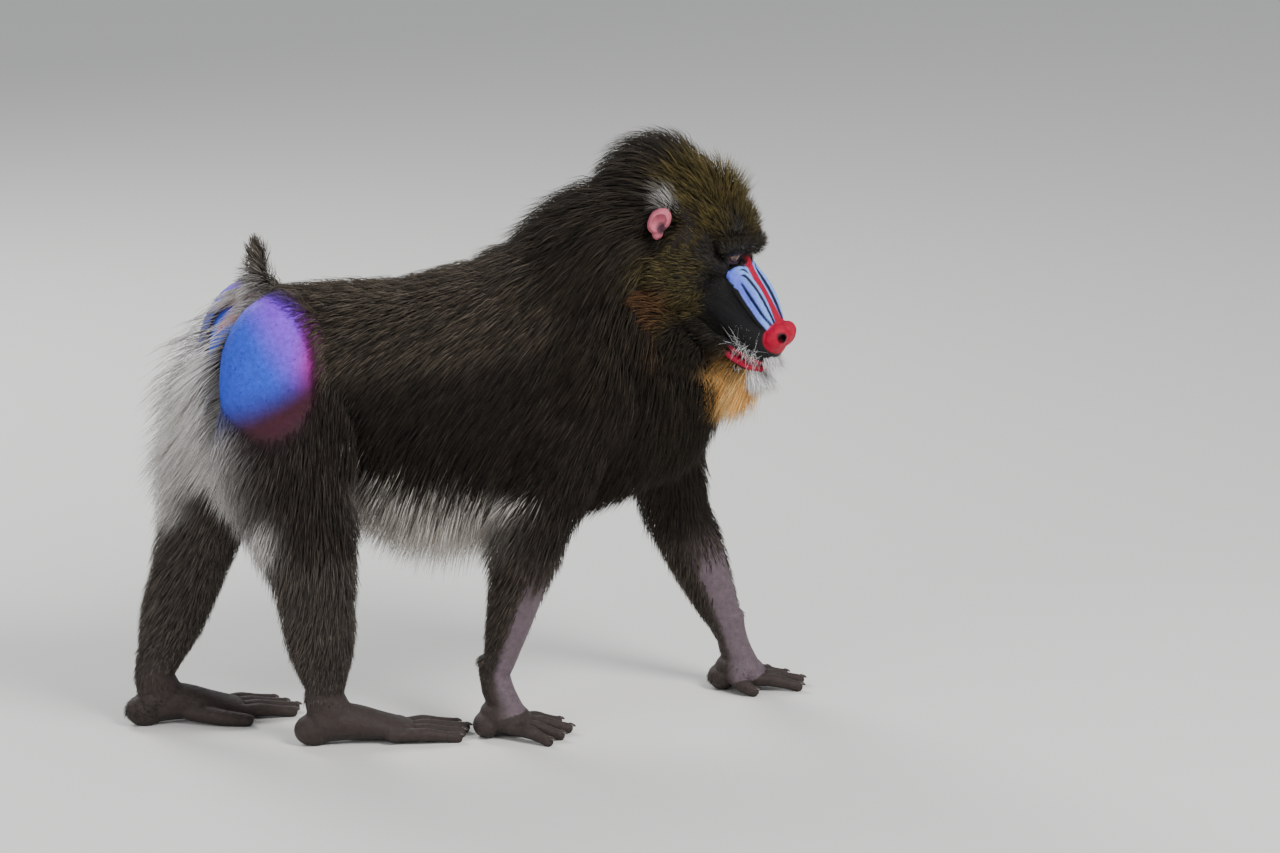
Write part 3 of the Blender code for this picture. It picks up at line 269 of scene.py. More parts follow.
# Round a limb: share along it, then front, back, outer and inner hair as length and rise
LEG_COAT = (
    ("upper", 0.0, (44, 22), (84, 52), (42, 18), (34, 24), "thigh"),
    ("upper", 0.35, (44, 22), (92, 50), (44, 18), (34, 24), "thigh"),
    ("upper", 0.7, (40, 22), (66, 40), (40, 20), (32, 24), "thigh"),
    ("upper", 1.0, (34, 22), (54, 34), (34, 20), (30, 24), "shin"),
    ("lower", 0.3, (28, 22), (42, 30), (30, 20), (26, 22), "shin"),
    ("lower", 0.6, (24, 20), (34, 28), (25, 20), (22, 22), "shin"),
    ("lower", 0.9, (14, 15), (20, 20), (15, 15), (13, 15), "shin"),
)
ARM_COAT = (
    ("upper", 0.1, (44, 20), (54, 28), (44, 15), (32, 20), "arm"),
    ("upper", 0.55, (40, 20), (54, 32), (42, 17), (28, 20), "arm"),
    ("upper", 0.95, (34, 20), (50, 32), (38, 20), (22, 20), "arm"),
    ("lower", 0.3, (26, 20), (40, 28), (32, 20), (14, 18), "forearm"),
    ("lower", 0.6, (20, 18), (30, 24), (25, 18), (12, 18), "forearm"),
    ("lower", 0.9, (11, 12), (15, 15), (13, 13), (9, 14), "forearm"),
)

# Height of the line between dark flank and pale belly at places along the body
BELLY_EDGE = ((-0.178, -0.135, -0.074, -0.012, 0.05, 0.1),
              (0.385, 0.366, 0.346, 0.338, 0.326, 0.28))
BODY_REACH = 0.032
HEAD_REACH = 0.015
TUFT_REACH = {"white": 0.66, "beard": 0.8, "brow": 0.8}

# Length, rise in degrees and width of the thin hair over the rump patches
PATCH_HAIR = (0.009, 16.0, 0.0011)
PIECE_OF = {
    "patch": "rump_hair",
    "back": "coat_back", "loin": "coat_back", "flank": "coat_flank", "belly": "coat_belly",
    "chest": "coat_chest", "throat": "coat_chest", "mane": "coat_mane", "crown": "coat_crown",
    "cheek": "coat_crown", "brow": "coat_crown", "beard": "coat_beard", "white": "coat_beard",
    "rump": "coat_rump", "thigh": "coat_thigh", "shin": "coat_shin", "arm": "coat_arm",
    "forearm": "coat_forearm", "hand": "coat_forearm", "tail": "coat_back",
}
TAIL_SKIN = -0.27       # the skin under the tail is bare behind this
FOREARM_REACH = 0.06
MOST_TRIANGLES = 198000  # in one piece of coat
BATCH = 20000           # points worked out at once
BARRIER = 40            # how strongly body hair is kept off the face
STRAYS = (0.34, 0.16)   # how far the lie strays, on the head and elsewhere
ROOT_DEPTH = 0.0025     # how deep a tuft is rooted
BANDED = 0.35           # share of tufts with a bright tip
PATCH = 0.003           # how wide a tuft's patch is on the unwrap
TUFT_SPACING = 2.41     # tuft roots lie this many widths apart
FINENESS = 0.49         # tuft width as a share of the widths in the coat tables
CLUMP = 9               # tufts that lean towards one tip
LONG_HAIR = ("mane", "belly", "rump", "beard", "throat", "cheek", "crown", "white", "tail")

# The gaze's turn to the right in degrees, the eye's colours out to an angle, and the cornea
GLANCE = -40.0
EYE_RINGS = ((15, "#030303"), (31, "#5c3620"), (36, "#140a06"), (181, "#241a16"))
CORNEA = 40
NAIL_SIZE = (0.0052, 0.0038, 0.0042)

# Loose strands set on the skin, by piece: how many, ranges of their places ahead, outward and
# up in the head frame, the way they point, how far that strays, their lengths and width in mm
STRANDS = {
    "whiskers": (
        (90, (0.146, 0.186), (0.036, 0.024), (-0.088, -0.08), (-0.3, 1.0, 0.1), 0.7, (12, 32), 0.42),
        (130, (0.15, 0.192), (0.034, 0.018), (-0.091, -0.083), (0.2, 1.0, -0.8), 0.55, (10, 26), 0.42),
        (70, (0.15, 0.186), (0.03, 0.014), (-0.121, -0.108), (0.1, 0.8, -0.7), 0.5, (8, 18), 0.38),
        (90, (0.14, 0.18), (0.04, 0.028), (-0.082, -0.06), (0.2, 0.8, -0.2), 0.4, (2, 4), 0.4),
        (16, (0.094, 0.104), (0.01, 0.036), (0.02, 0.03), (0.8, 0.5, 0.6), 0.35, (6, 12), 0.25),
    ),
    "goatee": (
        (900, (0.176, 0.2), (0.0, 0.024), (-0.124, -0.107), (1.0, 0.35, -0.75), 0.32, (16, 38), 1.0),
        (420, (0.188, 0.204), (0.0, 0.02), (-0.091, -0.08), (1.0, 0.6, -0.45), 0.35, (9, 24), 0.7),
    ),
    "beard_tips": (
        (1500, (0.14, 0.19), (0.0, 0.03), (-0.126, -0.112), (-0.06, 0.1, -1.0), 0.13, (50, 90), 1.05),
    ),
}

# The photograph's view: degrees from the right side, degrees up, metres and millimetres
CAMERA_AZIMUTH = -12.0
CAMERA_ELEVATION = 13.0
CAMERA_DISTANCE = 6.5
CAMERA_LENS = 146.25
CAMERA_TARGET = (0.215, 0.03, 0.36)

# Name, place, size and power of each light, and the point they are turned to
LIGHTS = (("key", (1.6, -2.6, 3.0), 1.6, 165), ("fill", (-3.0, -2.2, 1.6), 2.4, 55),
          ("rim", (-1.2, 2.8, 2.6), 1.8, 95))
LIT_POINT = (0, 0, 0.4)
SKY_POWER = 0.7
FLOOR_SIDE = 40.0


# Shapes

def linked(name, mesh):
    """A new object of the scene for a mesh."""
    obj = bpy.data.objects.new(name, mesh)
    bpy.context.scene.collection.objects.link(obj)
    return obj


def mesh_object(name, verts, faces):
    """An object of given points and faces."""
    mesh = bpy.data.meshes.new(name)
    mesh.from_pydata([tuple(v) for v in verts], [], faces)
    mesh.update()
    return linked(name, mesh)


def remove(obj):
    bpy.data.objects.remove(obj, do_unlink=True)


def pick(obj):
    """Makes obj the only selected and active object."""
    bpy.ops.object.select_all(action="DESELECT")
    obj.select_set(True)
    bpy.context.view_layer.objects.active = obj


def modify(obj, kind, **settings):
    """Adds one modifier with its settings and applies it."""
    step = obj.modifiers.new(kind.lower(), kind)
    for key, value in settings.items():
        setattr(step, key, value)
    pick(obj)
    bpy.ops.object.modifier_apply(modifier=step.name)
    return obj


def between(a, b, share):
    """The point a share of the way from a to b."""
    return tuple(np.array(a) * (1 - share) + np.array(b) * share)


def smooth_path(points, steps=4):
    """A Catmull-Rom curve through rows of numbers, with steps pieces for each span."""
    rows = np.array(points, float)
    ends = np.vstack([2 * rows[0] - rows[1], rows, 2 * rows[-1] - rows[-2]])
    made = []
    for i in range(len(rows) - 1):
        a, b, c, d = ends[i:i + 4]
        for k in range(steps):
            t = k / steps
            made.append(0.5 * (2 * b + (c - a) * t + (2 * a - 5 * b + 4 * c - d) * t * t
                               + (3 * b - a - 3 * c + d) * t ** 3))
    made.append(rows[-1])
    return np.array(made)


def loft(name, stations, side=(0, 1, 0), sides=24, dome=0.7, steps=5):
    """A closed tube through (centre, half width, half depth) stations, with domed ends."""
    rows = [(*centre, wide, deep) for centre, wide, deep in stations]
    rows = smooth_path(rows, steps) if len(rows) > 2 else np.array(rows, float)
    tangents = np.gradient(rows[:, :3], axis=0)
    tangents /= np.linalg.norm(tangents, axis=1)[:, None]
    turns = [2 * math.pi * k / sides for k in range(sides)]
    rings = []

    def ring(centre, tangent, wide, deep):
        across = np.array(side, float) - np.dot(side, tangent) * tangent
        across /= np.linalg.norm(across)
        other = np.cross(tangent, across)
        return [centre + across * wide * math.cos(a) + other * deep * math.sin(a) for a in turns]

    for end, sign in ((0, -1), (len(rows) - 1, 1)):
        reach = dome * min(rows[end, 3], rows[end, 4])
        domes = [ring(rows[end, :3] + sign * tangents[end] * reach * math.sin(a), tangents[end],
                      rows[end, 3] * math.cos(a), rows[end, 4] * math.cos(a))
                 for a in (0.3, 0.6, 0.9, 1.2, 1.45)]
        if sign < 0:
            rings += domes[::-1]
            rings += [ring(r[:3], t, r[3], r[4]) for r, t in zip(rows, tangents)]
        else:
            rings += domes
    verts = [p for r in rings for p in r]
    faces = []
    for i in range(len(rings) - 1):
        for k in range(sides):
            n = (k + 1) % sides
            faces.append((i * sides + k, i * sides + n, (i + 1) * sides + n, (i + 1) * sides + k))
    faces.append(tuple(range(sides))[::-1])
    faces.append(tuple((len(rings) - 1) * sides + k for k in range(sides)))
    return mesh_object(name, verts, faces)


def ball(name, centre, radii, turn=(0, 0, 0)):
    """An ellipsoid with its radii along axes turned by the three angles, in degrees."""
    bpy.ops.mesh.primitive_uv_sphere_add(segments=32, ring_count=20, radius=1.0)
    obj = bpy.context.object
    obj.name = name
    turned = Matrix.Rotation(math.radians(turn[2]), 4, "Z") \
        @ Matrix.Rotation(math.radians(turn[1]), 4, "Y") \
        @ Matrix.Rotation(math.radians(turn[0]), 4, "X")
    obj.data.transform(Matrix.Translation(centre) @ turned @ Matrix.Diagonal((*radii, 1)))
    return obj


def join(name, pieces):
    """Joins several meshes into one object."""
    pick(pieces[0])
    for piece in pieces[1:]:
        piece.select_set(True)
    bpy.ops.object.join()
    pieces[0].name = name
    return pieces[0]


def melt(name, pieces, voxel, soften):
    """Melts overlapping pieces into one smooth skin."""
    obj = join(name, pieces)
    modify(obj, "REMESH", mode="VOXEL", voxel_size=voxel, adaptivity=0.0)
    modify(obj, "SMOOTH", factor=0.5, iterations=soften)
    return obj


def carve(obj, others, operation):
    """Joins or cuts obj with closed meshes, which are then removed."""
    for other in others:
        modify(obj, "BOOLEAN", operation=operation, object=other, solver="MANIFOLD")
        remove(other)
    return obj


# Flesh

def trunk_pieces():
    """The trunk, neck, shoulders and tail."""
    rows = [((x, 0.0, (top + low) / 2), wide, (top - low) / 2) for x, top, low, wide in TRUNK]
    return [
        loft("trunk", rows, sides=32, dome=0.6),
        ball("chest", (0.228, 0.01, 0.405), (0.066, 0.074, 0.092)),
        ball("withers", (0.08, 0.0, 0.545), (0.1, 0.066, 0.05), (0, -12, 0)),
        ball("shoulder_blade", (0.145, -0.062, 0.425), (0.062, 0.034, 0.092)),
        ball("shoulder_blade", (0.185, 0.064, 0.425), (0.062, 0.034, 0.092)),
        loft("neck", NECK, sides=28, dome=0.6),
        loft("tail", [(TAIL_BASE, TAIL_GIRTH * 1.8, TAIL_GIRTH * 1.8),
                      (between(TAIL_BASE, TAIL_TIP, 0.4), TAIL_GIRTH, TAIL_GIRTH),
                      (between(TAIL_BASE, TAIL_TIP, 0.75), TAIL_GIRTH * 0.8, TAIL_GIRTH * 0.8)]),
    ]


def limb(name, joints, upper, lower):
    """A leg or arm through three joints, from rows of share, half width and half depth."""
    rows = []
    for start, end, table in ((joints[0], joints[1], upper), (joints[1], joints[2], lower)):
        rows += [(between(start, end, share), wide, deep) for share, wide, deep in table]
    return loft(name, rows)


def leg_pieces(side):
    """The rump, thigh and leg down to the ankle."""
    sign = SIGN[side]
    hip = HIP[side]
    return [
        ball("buttock", (hip[0] - 0.004, sign * 0.056, hip[2] + 0.03), (0.072, 0.054, 0.11)),
        ball("thigh", (hip[0] + 0.026, sign * 0.066, hip[2] - 0.038), (0.064, 0.046, 0.1),
             (0, 12, 0)),
        limb("leg", (hip, KNEE[side], ANKLE[side]),
             ((-0.05, 0.04, 0.062), (0.3, 0.042, 0.061), (0.65, 0.037, 0.053)),
             ((0.0, 0.032, 0.044), (0.3, 0.03, 0.04), (0.6, 0.027, 0.038),
              (0.82, 0.024, 0.032), (1.0, 0.02, 0.024))),
    ]


def arm_pieces(side):
    """The shoulder and arm down to the wrist."""
    shoulder, elbow = SHOULDER[side], ELBOW[side]
    return [
        ball("shoulder", between(shoulder, elbow, 0.05), (0.054, 0.036, 0.078)),
        limb("arm", (shoulder, elbow, WRIST[side]),
             ((-0.05, 0.03, 0.048), (0.4, 0.031, 0.047), (0.75, 0.028, 0.04)),
             ((0.0, 0.027, 0.036), (0.3, 0.027, 0.034), (0.6, 0.023, 0.029),
              (0.85, 0.018, 0.023), (1.0, 0.017, 0.019))),
    ]


def digit(name, line, girth):
    """A toe or finger through its root, middle joint and tip centre."""
    start, mid, tip = line
    centres = (start, between(start, mid, 0.5), mid, between(mid, tip, 0.5), tip)
    rows = [(centre, wide, deep) for centre, (wide, deep) in zip(centres, girth)]
    return loft(name, rows, sides=16, dome=0.9)


def foot_pieces():
    """A right foot from the heel at the origin along +X, its outer side to -Y."""
    pieces = [
        loft("shin", [((0.042, 0, 0.1), 0.018, 0.022), ((0.039, 0, 0.084), 0.018, 0.023),
                      ((0.038, 0, 0.062), 0.02, 0.025), ((0.044, 0, 0.04), 0.022, 0.028)],
             dome=0.5),
        ball("heel", (0.025, 0, 0.021), (0.026, 0.019, 0.021)),
        loft("instep", [((0.03, 0, 0.03), 0.022, 0.026), ((0.07, 0, 0.028), 0.024, 0.023),
                        ((0.11, 0, 0.02), 0.029, 0.017), ((0.142, 0, 0.014), 0.032, 0.012)],
             dome=0.6),
    ]
    pieces += [digit("toe", toe_line(k), TOE_GIRTH) for k in range(4)]
    pieces.append(loft("big_toe", [((0.078, 0.016, 0.018), 0.012, 0.012),
                                   ((0.112, 0.04, 0.013), 0.0105, 0.0105),
                                   ((0.142, 0.05, 0.009), 0.009, 0.0085)], sides=16, dome=0.9))
    return pieces


def toe_line(k):
    """Root, middle joint and tip centre of toe k of a right foot, counted from the big toe."""
    spread = 0.021 - 0.0155 * k
    reach = FOOT_LENGTH - 0.006 - 0.009 * abs(k - 1)
    start = (0.128 - 0.004 * k, spread, 0.014)
    mid = (start[0] + (reach - start[0]) * 0.45, spread * 1.25, 0.014)
    return start, mid, (reach - 0.006, spread * 1.35, 0.008)


def hand_pieces():
    """A right hand from below the wrist at the origin along +X, its outer side to -Y."""
    pieces = [
        loft("wrist", [((-0.004, 0, 0.1), 0.0165, 0.019), ((-0.002, 0, 0.08), 0.017, 0.019),
                       ((0.004, 0, 0.055), 0.021, 0.02), ((0.02, 0, 0.026), 0.028, 0.018)],
             dome=0.6),
        ball("palm", (0.012, 0, 0.026), (0.034, 0.029, 0.022), (0, 18, 0)),
        ball("heel_pad", (-0.012, -0.004, 0.018), (0.018, 0.022, 0.017)),
    ]
    pieces += [digit("finger", finger_line(k), FINGER_GIRTH) for k in range(4)]
    pieces.append(loft("thumb", [((-0.004, 0.018, 0.024), 0.01, 0.011),
                                 ((0.006, 0.036, 0.014), 0.0085, 0.0095),
                                 ((0.016, 0.044, 0.0085), 0.0072, 0.0075)], sides=16, dome=0.9))
    return pieces


def finger_line(k):
    """Root, middle joint and tip centre of finger k of a right hand, counted from the thumb."""
    fan = 0.3 * (1.0 - k)
    start = np.array((0.024 - 0.003 * abs(k - 1), 0.019 - 0.0135 * k, 0.018))
    reach = HAND_LENGTH * 0.62 - 0.006 * abs(k - 1)
    ahead = np.array((math.cos(fan), math.sin(fan), 0.0))
    return (tuple(start), tuple(start + ahead * reach * 0.5 + np.array((0, 0, -0.002))),
            tuple(start + ahead * reach + np.array((0, 0, -0.01))))


def standing_frame(limb, side):
    """The matrix from a right hand's or foot's own frame to its place on the floor."""
    at, yaw, back = ((ANKLE[side], FOOT_YAW[side], -HEEL_REACH) if limb == "foot"
                     else (WRIST[side], HAND_YAW[side], 0.0))
    flip = -1 if side == "left" else 1
    return Matrix.Translation((at[0], at[1], -SOLE_CUT)) \
        @ Matrix.Rotation(math.radians(yaw), 4, "Z") \
        @ Matrix.Translation((back, 0, 0)) @ Matrix.Diagonal((1, flip, 1, 1))


def standing(pieces, limb, side):
    """Sets a foot's or hand's pieces on the floor under their joint."""
    for piece in pieces:
        piece.data.transform(standing_frame(limb, side))
        if side == "left":
            piece.data.flip_normals()
    return pieces


def muzzle_top(along):
    """Height of the muzzle's upper line in the head frame at a distance along it, 0 to 1."""
    return -0.0042 - 0.037 * along


def ridge_width(along):
    """The swelling's breadth along it, as a share of its breadth under the eye."""
    return 1 - 0.65 * np.clip(along, 0, 1) ** 3


def ridge_height(along, across):
    """Height of the swelling's surface in the head frame."""
    here = np.clip(along, 0, 1)
    swell = 0.001 + 0.007 * np.sin(math.pi * here)
    return muzzle_top(along) + swell * np.sin(math.pi * np.clip(across, 0, 1) ** 0.8) \
        - (0.0095 - 0.0025 * here) * np.clip(across, 0, 1.3) ** 2.2


def rib_line(across):
    """One rib from the nose back to where it hooks outward: distance along, and half width."""
    line = [(along, RIDGE_INNER + RIDGE_BREADTH * across * float(ridge_width(along)))
            for along in (1.0, 0.75, 0.5, 0.32)]
    start, out = line[-1]
    end = 0.22 * across - 0.04
    for share in (0.3, 0.55, 0.8, 1.0):
        turn = math.pi / 2 * share
        line.append((start + (end - start) * math.sin(turn) ** 0.6,
                     out + (RIDGE_OUTER - out) * (1 - math.cos(turn)) ** 1.3))
    return smooth_path(line, 5)


def face_pieces():
    """The head, in its own frame."""
    pieces = [
        ball("vault", (0.012, 0, 0.022), (0.072, 0.05, 0.04)),
        ball("back", (-0.026, 0, 0.012), (0.06, 0.052, 0.05)),
        ball("forehead", (0.056, 0, 0.025), (0.038, 0.04, 0.027)),
        loft("muzzle", [((0.06, 0, -0.052), 0.044, 0.052), ((0.1, 0, -0.051), 0.036, 0.046),
                        ((0.13, 0, -0.058), 0.033, 0.041), ((0.16, 0, -0.067), 0.03, 0.033),
                        ((0.18, 0, -0.075), 0.026, 0.026)], sides=32, dome=0.7),
        loft("jaw", [((0.045, 0, -0.084), 0.04, 0.028), ((0.09, 0, -0.101), 0.034, 0.02),
                     ((0.135, 0, -0.106), 0.028, 0.017), ((0.168, 0, -0.1055), 0.019, 0.015)],
             sides=28, dome=0.8),
        loft("brow", [((0.083, -0.04, 0.013), 0.0085, 0.01), ((0.095, -0.022, 0.0205), 0.009, 0.009),
                      ((0.098, 0.0, 0.0205), 0.009, 0.009), ((0.095, 0.022, 0.0205), 0.009, 0.009),
                      ((0.083, 0.04, 0.013), 0.0085, 0.01)], side=(0, 0, 1), sides=16),
        loft("nose_root", [((0.08, 0, 0.008), 0.012, 0.014), ((0.112, 0, -0.012), 0.009, 0.009),
                           ((0.176, 0, -0.05), 0.011, 0.009)], sides=16),
        loft("stripe", [((0.098, 0, 0.001), 0.0055, 0.0075), ((0.12, 0, -0.018), 0.0048, 0.008),
                        ((0.15, 0, -0.0355), 0.0052, 0.0085), ((0.174, 0, -0.051), 0.0085, 0.011)],
             sides=20, dome=0.7),
        ball("pad", (0.187, 0, -0.056), (0.0145, 0.016, 0.019), (0, 12, 0)),
        ball("tip", (0.1895, 0, -0.047), (0.011, 0.0105, 0.0115), (0, 20, 0)),
    ]
    for sign in (-1, 1):
        pieces += [
            ball("cheek", (0.042, sign * 0.036, -0.036), (0.044, 0.028, 0.058), (0, 0, sign * 8)),
            ball("jowl", (0.024, sign * 0.04, -0.062), (0.042, 0.026, 0.042), (0, 20, sign * 8)),
            loft("cheek_bone", [((0.04, sign * 0.052, -0.012), 0.013, 0.015),
                                ((0.07, sign * 0.047, -0.012), 0.012, 0.014),
                                ((0.09, sign * 0.034, -0.013), 0.01, 0.01)], side=(0, 0, 1)),
            loft("maxilla", [((0.08, sign * 0.026, -0.038), 0.014, 0.028),
                             ((0.115, sign * 0.021, -0.046), 0.0135, 0.027),
                             ((0.148, sign * 0.016, -0.062), 0.0125, 0.023),
                             ((0.172, sign * 0.011, -0.073), 0.0105, 0.016)], sides=20),
            loft("upper_lip", [((0.134, sign * 0.0295, -0.0915), 0.0046, 0.006),
                               ((0.155, sign * 0.0285, -0.0905), 0.0056, 0.007),
                               ((0.176, sign * 0.0215, -0.0905), 0.006, 0.007),
                               ((0.191, sign * 0.006, -0.09), 0.0062, 0.007)],
                 side=(0, 0, 1), sides=16),
            loft("lower_lip", [((0.134, sign * 0.0275, -0.102), 0.0044, 0.006),
                               ((0.156, sign * 0.026, -0.104), 0.0054, 0.006),
                               ((0.174, sign * 0.019, -0.105), 0.0058, 0.007),
                               ((0.187, sign * 0.005, -0.1045), 0.0058, 0.007)],
                 side=(0, 0, 1), sides=16),
            ball("wing", (0.1865, sign * 0.013, -0.056), (0.014, 0.015, 0.0185), (0, 8, 0)),
            ball("lids", (EYE_AT[0] - 0.0005, sign * EYE_AT[1], EYE_AT[2]),
                 (EYE_RADIUS + 0.0028, EYE_RADIUS + 0.0036, EYE_RADIUS + 0.0026)),
            ball("ear", (0.001, sign * 0.0695, 0.004), (0.013, 0.0095, 0.018),
                 (sign * 10, 10, sign * -22)),
            ball("ear_root", (-0.004, sign * 0.057, 0.001), (0.012, 0.015, 0.015)),
            ball("ear_lobe", (0.006, sign * 0.0665, -0.012), (0.0065, 0.007, 0.008)),
        ]
        for k in range(RIBS):
            rows = []
            for along, y in rib_line(k / (RIBS - 1))[::2]:
                across = (y - RIDGE_INNER) / (RIDGE_BREADTH * float(ridge_width(along)))
                swell = RIB_GIRTH * (0.25 + 0.75 * float(ridge_width(along)))
                rows.append(((RIDGE_BACK + RIDGE_REACH * along, sign * y,
                              float(ridge_height(along, across)) - RIB_GIRTH), swell * 1.15, swell))
            pieces.append(loft("rib", rows, side=(0, 0, 1), sides=16, dome=0.8, steps=2))
    return pieces


def face_cutters():
    """What opens the eyes, mouth, nostrils and ear cups."""
    rows = []
    for k in range(21):
        turn = math.pi * (k / 20 - 0.5)
        rows.append(((0.142 + 0.052 * math.cos(turn) ** 0.7, -0.0335 * math.sin(turn),
                      -0.097 - 0.001 * math.cos(turn)), 0.0009, 0.006))
    cutters = [loft("mouth", rows, side=(0, 0, 1), sides=10, steps=1, dome=0.4)]
    for sign in (-1, 1):
        cutters += [
            ball("nostril", (0.197, sign * 0.0205, -0.049), (0.01, 0.0056, 0.0056),
                 (0, -8, sign * 36)),
            ball("slit", (EYE_AT[0] + 0.009, sign * (EYE_AT[1] + 0.0034), EYE_AT[2] + 0.0006),
                 (0.012, 0.011, 0.0064), (0, 0, sign * 20)),
            ball("socket", (EYE_AT[0], sign * EYE_AT[1], EYE_AT[2]), [EYE_RADIUS + 0.0003] * 3),
            ball("ear_hollow", (0.0045, sign * 0.0795, 0.005), (0.009, 0.0112, 0.0128),
                 (sign * 10, 10, sign * -22)),
            ball("ear_canal", (0.009, sign * 0.072, -0.002), (0.005, 0.008, 0.006)),
        ]
    return cutters


def floor_block():
    """A block under the floor that flattens the soles."""
    bpy.ops.mesh.primitive_cube_add(size=1.0)
    obj = bpy.context.object
    obj.data.transform(Matrix.Translation((0, 0, -0.05)) @ Matrix.Diagonal((3.0, 2.0, 0.1, 1)))
    return obj


def make_skin():
    """One closed skin for the whole animal, finest on the face, hands and feet."""
    body = trunk_pieces()
    ends = []
    for side in SIGN:
        body += leg_pieces(side) + arm_pieces(side)
        ends.append(melt("foot", standing(foot_pieces(), "foot", side), HAND_VOXEL, 3))
        ends.append(melt("hand", standing(hand_pieces(), "hand", side), HAND_VOXEL, 3))
    skin = melt("skin", body, BODY_VOXEL, 6)
    face = melt("face", face_pieces(), HEAD_VOXEL, 5)
    cutters = face_cutters()
    carve(face, cutters, "DIFFERENCE")
    face.data.transform(HEAD_FRAME)
    carve(skin, [face, *ends], "UNION")
    carve(skin, [floor_block()], "DIFFERENCE")
    return skin


# Colours, as sRGB hex values

def linear(code):
    """An sRGB hex value as linear red, green and blue."""
    parts = [int(code[i:i + 2], 16) / 255 for i in (1, 3, 5)]
    return np.array([c / 12.92 if c <= 0.04045 else ((c + 0.055) / 1.055) ** 2.4 for c in parts])


def unit(rows):
    """Rows of vectors, each one metre long."""
    return rows / np.maximum(np.linalg.norm(rows, axis=1), 1e-9)[:, None]


def fade(value, low, high):
    """0 below low, 1 above high, and smooth between."""
    t = np.clip((value - low) / (high - low), 0, 1)
    return t * t * (3 - 2 * t)


def paint(colours, mask, code):
    """Lays one colour over rows of colours by a mask from 0 to 1."""
    return colours + (linear(code)[None, :] - colours) * mask[:, None]


def apart(points, centre, sizes):
    """How far points lie from a centre, as a share of an ellipsoid's radii."""
    return np.linalg.norm((points - np.array(centre)) / np.array(sizes), axis=1)


def one_side(q):
    """Points brought over to the left of the midline."""
    return q * (1, 0, 1) + np.abs(q) * (0, 1, 0)


def in_head(points):
    """Body-frame points in the head's own frame."""
    back = np.array(HEAD_FRAME.inverted())
    return points @ back[:3, :3].T + back[:3, 3]


def rump_place(points, side):
    """Where points lie on one rump patch: forward and upward, 1 at its edge, and how far out."""
    sign = SIGN[side]
    hip = HIP[side]
    away = points - np.array((hip[0] - 0.027, sign * 0.088, hip[2] + 0.06))
    return away[:, 0] / 0.074, away[:, 2] / 0.096, away[:, 1] * sign / 0.05


def under_tail(points, middle, wide, tall):
    """How far points lie from a spot under the tail, as a share of its half sizes."""
    return np.sqrt((points[:, 1] / wide) ** 2 + ((points[:, 2] - middle) / tall) ** 2)


def tail_mask(points):
    """1 on the bare skin under the tail."""
    return (1 - fade(under_tail(points, 0.52, 0.035, 0.045), 0.8, 1.0)) * (points[:, 0] < TAIL_SKIN)


def rump_mask(points):
    """1 on the bare coloured skin of the rump, 0 where hair grows."""
    mask = np.zeros(len(points))
    for side in SIGN:
        ahead, up, out = rump_place(points, side)
        mask = np.maximum(mask, 1 - fade(np.sqrt(ahead ** 2 + up ** 2), 0.76, 1.12) - (out < -1.0))
    return np.clip(np.maximum(mask, tail_mask(points)), 0, 1)


def rib_gap(q, lines, sunk):
    """How far head-frame points lie from the nearest of some rib lines, sunk under the crests."""
    gap = np.full(len(q), 1.0)
    wide = np.abs(q[:, 1])
    for line in lines:
        for along, y in smooth_path(rib_line(line), 3):
            across = (y - RIDGE_INNER) / (RIDGE_BREADTH * float(ridge_width(along)))
            point = (RIDGE_BACK + RIDGE_REACH * along, y, float(ridge_height(along, across)) - sunk)
            aside = np.hypot(q[:, 0] - point[0], wide - point[1])
            gap = np.minimum(gap, np.hypot(aside, 0.6 * (q[:, 2] - point[2])))
    return gap


def ridge_mask(q):
    """The whole ribbed swelling beside the nose."""
    mask = 1 - fade(rib_gap(q, np.linspace(0, 1, 13), 0.001), 0.0036, 0.0046)
    return mask * (1 - fade(q[:, 0], 0.179, 0.183)) * (q[:, 2] < 0.004)


def stripe_mask(q):
    """The red stripe down the nose, with the nose's tip and wings."""
    over = q[:, 2] - muzzle_top((q[:, 0] - RIDGE_BACK) / RIDGE_REACH)
    stripe = (1 - fade(np.abs(q[:, 1]) - 0.0058 - 0.03 * (q[:, 0] - 0.1), 0.0, 0.0025)) \
        * fade(q[:, 0], 0.094, 0.098) * fade(over, -0.014, -0.008) \
        * (1 - fade(q[:, 2], 0.01, 0.016))
    pad = 1 - fade(apart(q, (0.188, 0, -0.055), (0.0195, 0.034, 0.0225)), 0.92, 1.04)
    return np.maximum(stripe, pad)


def lip_mask(q):
    """The red rims of the mouth."""
    rim = 1 - fade(np.abs(q[:, 2] - LIP_LEVEL), 0.0075, 0.01)
    return rim * fade(q[:, 0], 0.143, 0.152)


def inner_arm(points, side):
    """How far down the forearm points are, how squarely they face its bare side, and if near."""
    a, b = np.array(ELBOW[side]), np.array(WRIST[side])
    share = np.clip(((points - a) @ (b - a)) / ((b - a) @ (b - a)), 0, 1)
    off = points - (a + share[:, None] * (b - a))
    return share, unit(off) @ np.array(BARE_ARM[side]), np.linalg.norm(off, axis=1) < FOREARM_REACH


